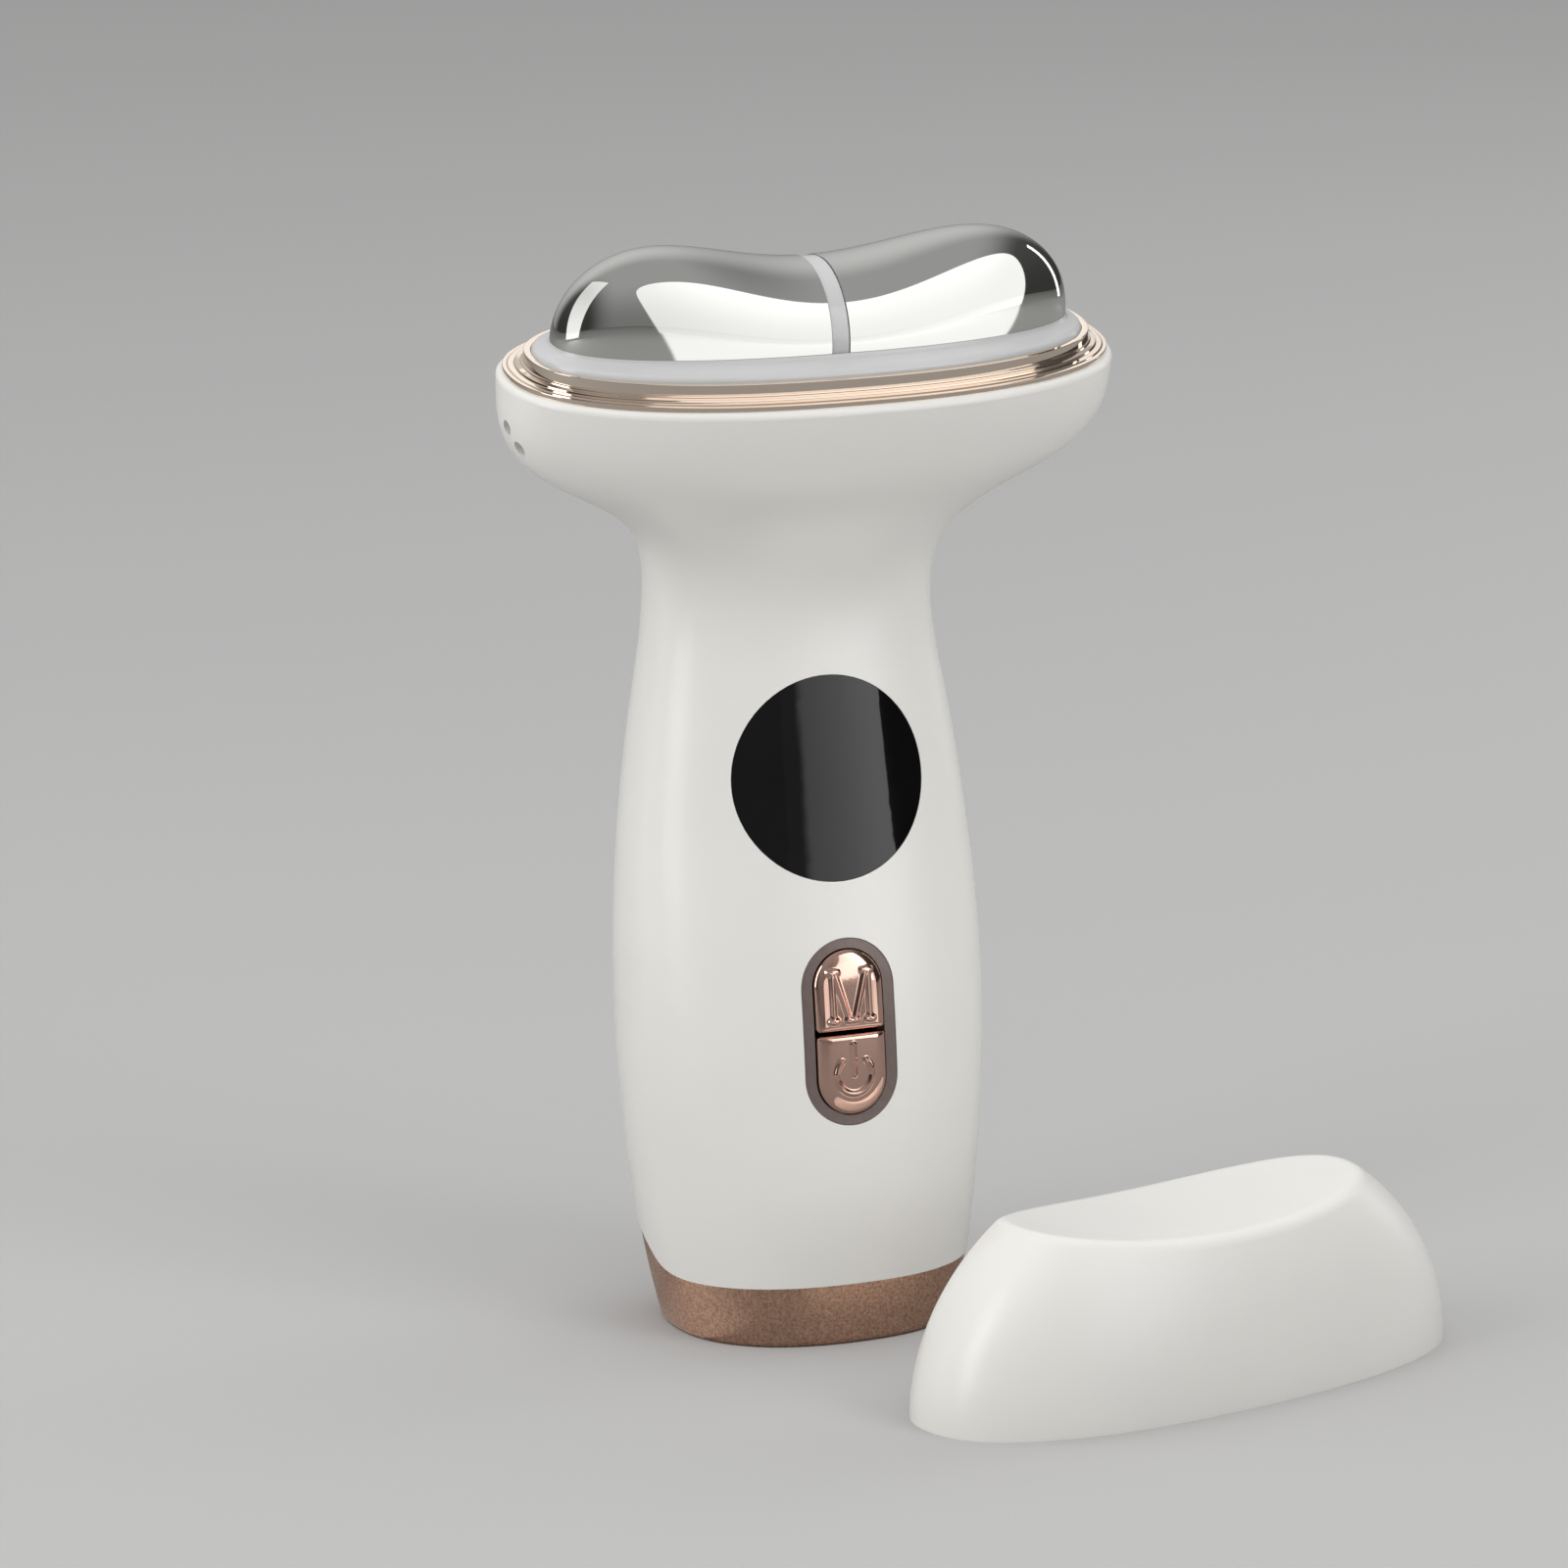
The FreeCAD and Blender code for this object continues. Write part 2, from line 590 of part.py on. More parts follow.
for i in range(LED_COUNT):
    angle = 2 * math.pi * (i + 0.5) / LED_COUNT
    x = (RING_HALF_LENGTH - GUIDE_CAVITY_INSET - 2) * math.cos(angle)
    y = (RING_HALF_DEPTH - GUIDE_CAVITY_INSET - 2) * math.sin(angle)
    half = LED_SIZE / 2
    lamps.append(box(x - half, x + half, y - half, y + half, led_top, led_top + LED_HEIGHT))
parts["led_chips"] = placed(Part.makeCompound(lamps), HEAD)

# Spring contacts from the lamp board up to the plates
inner_skin = both_halves(saddle(PLATE_THICK))
probe = inner_skin.common(Part.makeLine(Vector(CONTACT_X, 0, 5), Vector(CONTACT_X, 0, 60)))
contact_top = probe.BoundBox.ZMax - FIT_GAP
for side, name in ((-1, "left_contact"), (1, "right_contact")):
    base = Vector(side * CONTACT_X, 0, led_top)
    barrel_top = contact_top - GUIDE_WALL - 1.5
    barrel = rod(CONTACT_DIA, base, Vector(base.x, 0, barrel_top))
    tip = rod(CONTACT_TIP_DIA, Vector(base.x, 0, barrel_top - 1), Vector(base.x, 0, contact_top))
    parts[name] = placed(barrel.fuse(tip), HEAD)

# Display window and the module behind it
window = Part.makeCylinder(DISPLAY_DIA / 2, 16, Vector(0, 0, -8))
window = placed(window, DISPLAY).common(skin).cut(housing(WINDOW_THICK))
parts["display_window"] = window
display_local = BOARD.inverse().multVec(DISPLAY.Base)
module = box(-MODULE_SIZE / 2, MODULE_SIZE / 2, -MODULE_SIZE / 2, MODULE_SIZE / 2, 0, MODULE_THICK)
module = module.makeFillet(0.8, [e for e in module.Edges if e.BoundBox.ZLength > 1])
module.translate(Vector(0, display_local.y, board_face))
parts["display_module"] = placed(module, BOARD)

# Button frame
frame_skin = housing(FRAME_SINK)
frame_back = housing(FRAME_THICK)
frame = placed(stadium(FRAME_WIDTH, FRAME_LENGTH, -8, 8), PILL).common(frame_skin).cut(frame_back)
flange = stadium(FRAME_WIDTH + 2 * FRAME_FLANGE, FRAME_LENGTH + 2 * FRAME_FLANGE, -8, 8)
flange = placed(flange, PILL).common(housing(WALL + 0.03)).cut(housing(FRAME_THICK + 0.5))
frame = frame.fuse(flange)
key_hole = stadium(KEY_WIDTH + 2 * KEY_GAP, KEY_LENGTH + 2 * KEY_GAP, -8, 8)
parts["button_frame"] = frame.cut(placed(key_hole, PILL))

# Keys: proud crowned halves of a pill, a flange behind the frame and a stem to the switch
key_skin = housing(-KEY_PROUD)
key_back = housing(FRAME_THICK + 1.5)
pill_body = stadium(KEY_WIDTH, KEY_LENGTH, -8, 8)
pill_flange = stadium(KEY_WIDTH + 2.0, KEY_LENGTH + 2.0, -8, 8)
flange_front = housing(FRAME_THICK + 0.65)
board_y = {}
for side, name in ((1, "mode"), (-1, "power")):
    half = box(-BIG, BIG, KEY_SPLIT / 2, BIG, -BIG, BIG)
    if side < 0:
        half = box(-BIG, BIG, -BIG, -KEY_SPLIT / 2, -BIG, BIG)
    half_pill = pill_body.common(half)
    corners = [e for e in half_pill.Edges if abs(e.BoundBox.YMax + e.BoundBox.YMin) < KEY_SPLIT + 0.01]
    corners = [e for e in corners if e.BoundBox.ZLength > KEY_WIDTH]
    half_pill = half_pill.makeFillet(KEY_CORNER, corners)
    key = placed(half_pill, PILL).common(key_skin)
    top = max(key.Faces, key=lambda f: PILL.inverse().multVec(f.CenterOfMass).z)
    key = key.makeFillet(KEY_ROUND, top.Edges)
    key = key.cut(key_back)
    lug = placed(pill_flange.common(half), PILL).common(flange_front).cut(key_back)
    key = key.fuse(lug)
    centre = Vector(0, side * KEY_LENGTH / 4, 0)
    stem = Part.makeCylinder(KEY_STEM_DIA / 2, 14, centre.add(Vector(0, 0, -16)))
    stem = placed(stem, PILL)
    at_board = BOARD.inverse().multVec(PILL.multVec(centre))
    board_y[name] = at_board.y
    stop = board_face + SWITCH_HEIGHT + KEY_TRAVEL + SWITCH_GAP
    behind = placed(box(-BIG, BIG, -BIG, BIG, -BIG, stop), BOARD)
    stem = stem.cut(behind).common(housing(1.0))
    parts[name + "_button"] = key.fuse(stem)

# Push switches on the main board
for name in ("mode", "power"):
    half = SWITCH_SIZE / 2
    body = box(-half, half, -half, half, 0, SWITCH_HEIGHT - 0.5)
    dome = Part.makeCylinder(KEY_STEM_DIA / 2, 0.5, Vector(0, 0, SWITCH_HEIGHT - 0.5))
    switch = body.fuse(dome)
    switch.translate(Vector(0, board_y[name], board_face))
    parts[name + "_switch"] = placed(switch, BOARD)

# Main board
half_w = BOARD_WIDTH / 2
half_l = BOARD_LENGTH / 2
board = box(-half_w, half_w, -half_l, half_l, board_face - BOARD_THICK, board_face)
board = board.makeFillet(2.0, [e for e in board.Edges if e.BoundBox.ZLength > 1])
screws = []
for spot in screw_spots:
    seat = spot.add(Vector(0, 0, board_face - BOARD_THICK))
    board = board.cut(Part.makeCylinder(SCREW_DIA / 2 + SCREW_GAP, 4, seat.sub(Z_AXIS)))
    head = Part.makeCylinder(SCREW_HEAD_DIA / 2, SCREW_HEAD, seat.sub(Vector(0, 0, SCREW_HEAD)))
    shank = Part.makeCylinder(SCREW_DIA / 2, SCREW_LENGTH, seat)
    screws.append(placed(head.fuse(shank), BOARD))
parts["main_board"] = placed(board, BOARD)

# Battery in its tray
cell_y = TRAY_BACK_Y - TRAY_WALL - CELL_THICK
low = CELL_Z - CELL_LENGTH / 2
high = CELL_Z + CELL_LENGTH / 2
half_c = CELL_WIDTH / 2
cell = box(-half_c, half_c, cell_y, cell_y + CELL_THICK, low, high)
cell = cell.makeFillet(2.5, [e for e in cell.Edges if e.BoundBox.ZLength > 10])
parts["battery"] = cell
grow = TRAY_WALL + FIT_GAP
tray = box(-half_c - grow, half_c + grow, cell_y + 3, TRAY_BACK_Y, low - grow, high + grow)
room_half = half_c + FIT_GAP
room_back = TRAY_BACK_Y - TRAY_WALL
room = box(-room_half, room_half, cell_y - 1, room_back, low - FIT_GAP, high + FIT_GAP)
parts["battery_tray"] = tray.cut(room)

# Vibration motor: can, clamp and the rotor with its off-centre weight
motor_start = Vector(MOTOR_X - MOTOR_LENGTH / 2, MOTOR_Y, MOTOR_Z)
motor_end = Vector(MOTOR_X + MOTOR_LENGTH / 2, MOTOR_Y, MOTOR_Z)
can = rod(MOTOR_DIA, motor_start, motor_end)
can = can.makeFillet(0.8, [can.Edges[0], can.Edges[2]])
can = can.cut(rod(SHAFT_DIA + 2 * SHAFT_GAP, motor_start.add(X_AXIS * 4), motor_end.add(X_AXIS)))
parts["motor_can"] = can
shaft = rod(SHAFT_DIA, motor_start.add(X_AXIS * 4.3), motor_end.add(X_AXIS * (WEIGHT_LENGTH + 1)))
weight_start = motor_end.add(X_AXIS * 0.8)
weight = Part.makeCylinder(WEIGHT_RADIUS, WEIGHT_LENGTH, weight_start, X_AXIS)
keep = box(-BIG, BIG, -BIG, BIG, MOTOR_Z - BIG, MOTOR_Z + SHAFT_DIA)
parts["motor_rotor"] = shaft.fuse(weight.common(keep))
clamp_from = Vector(MOTOR_X - CLAMP_LENGTH / 2, MOTOR_Y, MOTOR_Z)
clamp_to = Vector(MOTOR_X + CLAMP_LENGTH / 2, MOTOR_Y, MOTOR_Z)
clamp = rod(MOTOR_DIA + 2 * CLAMP_WALL, clamp_from, clamp_to)
plate_half_z = MOTOR_DIA / 2 + 7
plate_low = MOTOR_Z - plate_half_z
plate_high = MOTOR_Z + plate_half_z
clamp_front_y = CLAMP_BACK_Y - CLAMP_WALL
clamp = clamp.fuse(box(clamp_from.x, clamp_to.x, clamp_front_y, CLAMP_BACK_Y, plate_low, plate_high))
clamp = clamp.cut(box(-BIG, BIG, CLAMP_BACK_Y, BIG, 0, 3 * BIG))
clamp = clamp.cut(rod(MOTOR_DIA + 0.1, motor_start, motor_end))
for sz in (-1, 1):
    seat = Vector(MOTOR_X, clamp_front_y, MOTOR_Z + sz * CLAMP_SCREW)
    clamp = clamp.cut(Part.makeCylinder(SCREW_DIA / 2 + SCREW_GAP, 5, seat.sub(Y_AXIS), Y_AXIS))
    head = Part.makeCylinder(SCREW_HEAD_DIA / 2, SCREW_HEAD, seat.sub(Y_AXIS * SCREW_HEAD), Y_AXIS)
    shank = Part.makeCylinder(SCREW_DIA / 2, SCREW_LENGTH, seat, Y_AXIS)
    screws.append(head.fuse(shank))
parts["motor_clamp"] = clamp
parts["board_screws"] = Part.makeCompound(screws)

# Charge board and socket
half_b = CHARGE_BOARD_WIDTH / 2
parts["charge_board"] = box(-half_b, half_b, charge_front, charge_back, charge_bottom, charge_top)
socket = socket_pill(0, SOCKET_LENGTH, -0.4)
bore = socket_pill(-SOCKET_SHELL, SOCKET_LENGTH - 1.2, 2)
tongue = box(-3.3, 3.3, socket_y - SOCKET_LENGTH + 1, socket_y - 1.2, SOCKET_Z - 0.35, SOCKET_Z + 0.35)
parts["charge_socket"] = socket.cut(bore).fuse(tongue)

# Sounder
parts["buzzer"] = rod(BUZZER_DIA, buzzer_from, buzzer_to)


# Protective cap
def cap_dome(inset):
    """Dome of shrinking outlines, taken higher than the cap so that its top can be carved."""
    height = CAP_DOME - inset
    wires = []
    levels = 7
    for i in range(levels):
        z = height * 0.9 * i / (levels - 1)
        share = math.sqrt(1 - (z / height) ** 2)
        half_x = (RING_HALF_LENGTH - CAP_INSET - inset) * share
        half_y = (RING_HALF_DEPTH - CAP_INSET - inset) * share
        wires.append(outline(half_x, half_y, z))
    return Part.makeLoft(wires, True, False)


def cap_carve(inset):
    """Everything above the cap's hollow top: a lying cylinder that dips in the middle."""
    tip = RING_HALF_LENGTH * 0.7
    radius = (tip ** 2 + CAP_TIP_RISE ** 2) / (2 * CAP_TIP_RISE)
    middle = Vector(0, -BIG, CAP_DIP - inset + radius)
    return Part.makeCylinder(radius, 2 * BIG, middle, Y_AXIS)


cap = cap_dome(0).cut(cap_carve(0))
crown = max(cap.Faces, key=lambda f: f.CenterOfMass.z)
cap = cap.makeFillet(CAP_ROUND, crown.Edges)
cap = cap.cut(cap_dome(CAP_WALL).cut(cap_carve(CAP_WALL)))
CAP = Placement(Vector(CAP_X, CAP_Y, 0), Rotation(Z_AXIS, CAP_YAW))
parts["protective_cap"] = placed(cap, CAP)

os.makedirs("parts", exist_ok=True)
for name, shape in parts.items():
    shape.exportStep("parts/" + name + ".step")
    print(name, shape.ShapeType, len(shape.Solids), shape.isValid(), round(shape.Volume, 1))
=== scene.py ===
# %% [markdown]
# # A face and neck massager with its protective cap
# The imported model is the fixed frame of this scene: every solid stands where the
# construction says, in metres, and this lesson only dresses it. We load the frame first.

# %% Load the frame
import bmesh
import bpy
import math
from mathutils import Matrix, Vector


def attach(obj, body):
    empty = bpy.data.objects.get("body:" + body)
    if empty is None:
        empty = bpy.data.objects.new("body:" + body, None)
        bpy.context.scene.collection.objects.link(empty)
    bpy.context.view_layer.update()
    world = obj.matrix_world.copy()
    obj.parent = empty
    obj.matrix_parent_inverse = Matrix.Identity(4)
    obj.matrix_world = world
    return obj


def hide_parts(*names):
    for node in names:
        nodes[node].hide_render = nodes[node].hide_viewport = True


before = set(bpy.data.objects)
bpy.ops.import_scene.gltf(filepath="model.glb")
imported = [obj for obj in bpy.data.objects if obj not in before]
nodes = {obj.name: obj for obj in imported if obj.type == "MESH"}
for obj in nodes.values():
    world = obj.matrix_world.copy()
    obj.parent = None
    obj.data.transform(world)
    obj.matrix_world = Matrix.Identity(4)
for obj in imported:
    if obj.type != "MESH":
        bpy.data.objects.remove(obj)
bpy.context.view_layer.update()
scene = bpy.context.scene
scene.view_settings.view_transform = "Standard"
MM = 0.001

# %% [markdown]
# ## Camera
# The photograph was taken with a long lens, from a little above and a little to the left.
# A camera can be turned with Euler angles, but building its three axes from an azimuth, an
# elevation and a small roll keeps each number readable.

# %% Camera
AZIMUTH = math.radians(-23.11)
ELEVATION = math.radians(12.69)
ROLL = math.radians(-0.26)
DISTANCE = 1.155
FOCUS_ASIDE = -0.0031815
FOCUS_HEIGHT = 0.07917
LENS_PIXELS = 8145.5
FRAME_PIXELS = 1600
SENSOR = 36.0
FARTHEST = 20

towards = Vector((math.sin(AZIMUTH) * math.cos(ELEVATION),
                  -math.cos(AZIMUTH) * math.cos(ELEVATION),
                  math.sin(ELEVATION)))
level = Vector((math.cos(AZIMUTH), math.sin(AZIMUTH), 0))
upward = towards.cross(level)
side = level * math.cos(ROLL) + upward * math.sin(ROLL)
top = upward * math.cos(ROLL) - level * math.sin(ROLL)
spot = level * FOCUS_ASIDE + Vector((0, 0, FOCUS_HEIGHT)) + towards * DISTANCE

lens = bpy.data.cameras.new("camera")
lens.sensor_width = SENSOR
lens.lens = LENS_PIXELS * SENSOR / FRAME_PIXELS
lens.clip_end = FARTHEST
camera = bpy.data.objects.new("camera", lens)
scene.collection.objects.link(camera)
camera_axes = Matrix((side, top, towards)).transposed().to_4x4()
camera.matrix_world = Matrix.Translation(spot) @ camera_axes
scene.camera = camera
print("lens", round(lens.lens, 1), "mm from", [round(v, 3) for v in spot])

# %% [markdown]
# ## Floor
# A plain pale floor catches a soft shadow. Polished metal has no colour of its own and only
# shows its surroundings, and a pale floor would make the ends of the plates look like glass.
# So the floor is darker where a reflection looks at it. A dark board beside the camera would
# do that in a studio; here the Light Path node tells such rays apart.

# %% Floor
FLOOR_HALF = 5.0
FLOOR_COLOUR = (0.46, 0.457, 0.455, 1)
FLOOR_IN_MIRRORS = (0.26, 0.26, 0.255, 1)
FLOOR_ROUGHNESS = 0.9
FLOOR_GLOSS = 0.2

mesh = bpy.data.meshes.new("floor")
bm = bmesh.new()
bmesh.ops.create_grid(bm, x_segments=1, y_segments=1, size=FLOOR_HALF)
bm.to_mesh(mesh)
bm.free()
floor = bpy.data.objects.new("floor", mesh)
scene.collection.objects.link(floor)
floor_paint = bpy.data.materials.new("floor_paint")
floor_paint.use_nodes = True
tree = floor_paint.node_tree
shader = tree.nodes["Principled BSDF"]
shader.inputs["Roughness"].default_value = FLOOR_ROUGHNESS
shader.inputs["Specular IOR Level"].default_value = FLOOR_GLOSS
seen_by = tree.nodes.new("ShaderNodeLightPath")
tone = tree.nodes.new("ShaderNodeValToRGB")
tone.color_ramp.elements[0].color = FLOOR_COLOUR
tone.color_ramp.elements[1].color = FLOOR_IN_MIRRORS
tree.links.new(seen_by.outputs["Is Glossy Ray"], tone.inputs["Fac"])
tree.links.new(tone.outputs["Color"], shader.inputs["Base Color"])
mesh.materials.append(floor_paint)
print("floor", 2 * FLOOR_HALF, "m across")

# %% [markdown]
# ## Helpers for gradients
# Light in a room fades softly from one place to the next, and so does the light of a large
# lamp. Two helpers build that from nodes: a soft change between two values, and a step of
# arithmetic. A painted picture could hold the same, but numbers can be changed one by one.

# %% Helpers for gradients


def soft_span(tree, value, start, end, low, high):
    """Number that changes softly from low to high while a value runs from start to end."""
    span = tree.nodes.new("ShaderNodeMapRange")
    span.interpolation_type = "SMOOTHSTEP"
    span.inputs["From Min"].default_value = start
    span.inputs["From Max"].default_value = end
    span.inputs["To Min"].default_value = low
    span.inputs["To Max"].default_value = high
    tree.links.new(value, span.inputs["Value"])
    return span.outputs["Result"]


def node_math(tree, operation, first, *others):
    """One step of arithmetic on nodes; each of the others is a number or a node's output."""
    step = tree.nodes.new("ShaderNodeMath")
    step.operation = operation
    tree.links.new(first, step.inputs[0])
    for place, other in enumerate(others, start=1):
        if isinstance(other, bpy.types.NodeSocket):
            tree.links.new(other, step.inputs[place])
        else:
            step.inputs[place].default_value = other
    return step.outputs["Value"]


print("helpers:", soft_span.__name__, node_math.__name__)

# %% [markdown]
# ## Surroundings
# The world gets quiet gradients: grey at the horizon, lighter overhead and towards the back,
# and dark at both sides, which gives the plates their dark ends. A picture of a studio would
# do this too, but gradients need no file.

# %% World
BACK_AND_UP = (0, 0.8, 0.6)
# each gradient: where it starts and ends, and its value there
GREY_BY_HEIGHT = (0.0, 0.8, 0.20, 0.36)
SHARE_AT_SIDES = (0.12, 0.62, 1.0, 0.20)
GREY_AT_BACK = (0.55, 1.0, 0.0, 0.26)

world = bpy.data.worlds.new("studio_room")
scene.world = world
world.use_nodes = True
tree = world.node_tree
coords = tree.nodes.new("ShaderNodeTexCoord").outputs["Generated"]
split = tree.nodes.new("ShaderNodeSeparateXYZ")
facing = tree.nodes.new("ShaderNodeVectorMath")
facing.operation = "DOT_PRODUCT"
facing.inputs[1].default_value = BACK_AND_UP
tree.links.new(coords, split.inputs["Vector"])
tree.links.new(coords, facing.inputs[0])
aside = node_math(tree, "MULTIPLY", split.outputs["X"], split.outputs["X"])
height = soft_span(tree, split.outputs["Z"], *GREY_BY_HEIGHT)
sides = soft_span(tree, aside, *SHARE_AT_SIDES)
rear = soft_span(tree, facing.outputs["Value"], *GREY_AT_BACK)
room = node_math(tree, "ADD", node_math(tree, "MULTIPLY", height, sides), rear)
tree.links.new(room, tree.nodes["Background"].inputs["Color"])
print("world nodes:", len(tree.nodes))

# %% [markdown]
# ## Soft boxes
# Large lamps do the work of a small product studio. A tall one at the front right draws
# the grey band on the display; it begins with a soft edge and gets brighter to its right, as
# a window is. Slim ones at the sides draw bright edge lines, and two low ones near the table
# give the white neck its gleams. A wide one overhead and one at each side only fill, and are
# kept out of reflections, so that the mirrors stay calm. A point lamp would be simpler, but
# polished metal shows the shape of its lamps.

# %% Soft boxes
AIM = Vector((0, 0, 0.10))
# azimuth and elevation in degrees, then distance, width and height in metres, and watts
LAMPS = {
    "front_box": (25, 22, 0.95, 0.60, 0.80, 3.9),
    "left_box": (-72, 22, 0.90, 0.34, 0.80, 3.0),
    "low_box": (36, -4, 0.42, 0.24, 0.15, 0.17),
    "low_left": (-106, -4, 0.42, 0.20, 0.15, 0.09),
    "right_box": (100, 16, 0.90, 0.10, 0.60, 0.4),
    "top_box": (0, 84, 3.00, 5.00, 5.00, 77.0),
    "right_fill": (105, 25, 1.30, 1.00, 1.00, 3.4),
    "left_fill": (-112, 25, 1.30, 1.00, 1.00, 3.6),
}


def soft_box(name, azimuth, elevation, distance, width, height, watts):
    """Rectangular lamp that looks at the massager from a direction given in degrees."""
    lamp = bpy.data.lights.new(name, "AREA")
    lamp.shape = "RECTANGLE"
    lamp.size = width
    lamp.size_y = height
    lamp.energy = watts
    box = bpy.data.objects.new(name, lamp)
    scene.collection.objects.link(box)
    az = math.radians(azimuth)
    el = math.radians(elevation)
    way = Vector((math.sin(az) * math.cos(el), -math.cos(az) * math.cos(el), math.sin(el)))
    box.location = AIM + way * distance
    box.rotation_euler = way.to_track_quat("Z", "Y").to_euler()
    box.visible_camera = False
    return box


boxes = {name: soft_box(name, *numbers) for name, numbers in LAMPS.items()}
for name in ("top_box", "right_fill", "left_fill"):
    boxes[name].visible_glossy = False
print("lamps:", list(boxes))

# %% [markdown]
# ## Soft edge of the front box
# A lamp's strength can follow the place on it. The Geometry node gives that place as two
# shares between 0 and 1, one across the lamp and one up it. A curtain would shade a real
# lamp in the same way.

# %% Soft edge of the front box
FRONT_EDGE = (0.16, 0.26, 0.05, 1.0)
FRONT_GLOW = (0.16, 0.90, 0.50, 1.0)


def lamp_nodes(box):
    """Node tree of a lamp with the two shares of the place on it, across and along."""
    box.data.use_nodes = True
    tree = box.data.node_tree
    place = tree.nodes.new("ShaderNodeNewGeometry")
    split = tree.nodes.new("ShaderNodeSeparateXYZ")
    tree.links.new(place.outputs["Parametric"], split.inputs["Vector"])
    return tree, split.outputs["X"], split.outputs["Y"]


def lamp_strength(tree, number):
    """Lets a lamp's strength follow a number."""
    tree.links.new(number, tree.nodes["Emission"].inputs["Strength"])


tree, across, _ = lamp_nodes(boxes["front_box"])
edge = soft_span(tree, across, *FRONT_EDGE)
glow = soft_span(tree, across, *FRONT_GLOW)
lamp_strength(tree, node_math(tree, "MULTIPLY", edge, glow))
print("front box:", len(tree.nodes), "nodes")

# %% [markdown]
# ## Card in front of the plates
# The white field on the plates is a large white card that stands in front. It is a lamp for
# the polished head alone, a little brighter to the right, with round upper corners: the sum
# of two high powers grows past 1 outside of a rounded square. A white plane would do, but it
# would light every other piece as well.

# %% Card in front of the plates
CARD_TURN = 26
CARD_RISE = 22
CARD_FAR = 0.95
CARD_WIDTH = 1.25
CARD_HEIGHT = 1.0
CARD_GLOW = 3.2
CARD_CORNER = 5
CARD_EDGE = (0.94, 1.0, 1.0, 0.0)
CARD_SHADE = (0.0, 1.0, 0.92, 1.35)


def from_middle(tree, share):
    """Place on a lamp as -1 at one edge, 0 in the middle and 1 at the other edge."""
    return node_math(tree, "MULTIPLY_ADD", share, 2, -1)


plate_box = soft_box("plate_box", CARD_TURN, CARD_RISE, CARD_FAR, CARD_WIDTH, CARD_HEIGHT,
                     CARD_GLOW)
tree, across, along = lamp_nodes(plate_box)
aside = node_math(tree, "ABSOLUTE", from_middle(tree, across))
above = node_math(tree, "MAXIMUM", from_middle(tree, along), 0)
outer = node_math(tree, "ADD", node_math(tree, "POWER", aside, CARD_CORNER),
                  node_math(tree, "POWER", above, CARD_CORNER))
shape = soft_span(tree, outer, *CARD_EDGE)
glow = soft_span(tree, across, *CARD_SHADE)
lamp_strength(tree, node_math(tree, "MULTIPLY", shape, glow))
print("card:", plate_box.name)

# %% [markdown]
# ## Lamps for the ring and the plate's end
# A lamp behind the massager lies in the mirror direction of the ring's flat steps, which
# face up, and makes them shine between their dark walls. A tall strip at the left draws the
# gleam on the end of the left plate, brightest at its foot. Turning up the room would light
# them too, but it would wash out the rest.

# %% Lamps for the ring and the plate's end
RING_LAMP = (152, 35, 1.00, 0.50, 0.50, 0.36)
STRIP_LAMP = (-78, 27, 0.90, 0.55, 1.10, 2.0)
STRIP_SHADE = (0.0, 1.0, 1.0, 0.6)

ring_box = soft_box("ring_box", *RING_LAMP)
strip_box = soft_box("strip_box", *STRIP_LAMP)
tree, _, along = lamp_nodes(strip_box)
lamp_strength(tree, soft_span(tree, along, *STRIP_SHADE))
print("lamps:", ring_box.name, strip_box.name)

# %% [markdown]
# ## Cards on the table
# The table in front of the standing card is as bright as the card. Its lamp is lit only
# between two straight lines that run from the massager to the card's corners, so that the
# white field on the plates has one smooth outline across both. A small card beside the foot
# gives its left end the pale gleam: the foot stands so low that it mirrors only the nearest
# strip of the table.

# %% Cards on the table
TABLE_NEAR = 0.05
TABLE_FAR = 1.06
TABLE_REACH = TABLE_FAR - TABLE_NEAR
TABLE_GLOW = CARD_GLOW * TABLE_REACH / CARD_HEIGHT
TABLE_HEIGHT = 0.002
FOOT_CARD_TURN = -90
FOOT_CARD = (FOOT_CARD_TURN, 0, 0.041, 0.06, 0.042, 0.0018)
FOOT_CARD_HEIGHT = 0.0003
FOOT_CARD_RISE = (0.25, 0.55, 0.3, 1.0)
FOOT_CARD_FALL = (0.60, 1.00, 1.0, 0.0)


def lay_flat(card, turn, height):
    """Lays a lamp on the table, so that it shines up."""
    card.location.z = height
    card.rotation_euler = (math.pi, 0, math.radians(turn))


table_card = soft_box("table_card", CARD_TURN, 0, TABLE_NEAR + TABLE_REACH / 2, CARD_WIDTH,
                      TABLE_REACH, TABLE_GLOW)
lay_flat(table_card, CARD_TURN, TABLE_HEIGHT)
tree, across, along = lamp_nodes(table_card)
aside = node_math(tree, "ABSOLUTE", from_middle(tree, across))
away = node_math(tree, "MULTIPLY_ADD", along, TABLE_REACH / TABLE_FAR, TABLE_NEAR / TABLE_FAR)
lean = node_math(tree, "DIVIDE", aside, away)
lamp_strength(tree, soft_span(tree, lean, *CARD_EDGE))

foot_card = soft_box("foot_card", *FOOT_CARD)
lay_flat(foot_card, FOOT_CARD_TURN, FOOT_CARD_HEIGHT)
tree, across, _ = lamp_nodes(foot_card)
rise = soft_span(tree, across, *FOOT_CARD_RISE)
fall = soft_span(tree, across, *FOOT_CARD_FALL)
lamp_strength(tree, node_math(tree, "MULTIPLY", rise, fall))
print("cards:", table_card.name, foot_card.name)

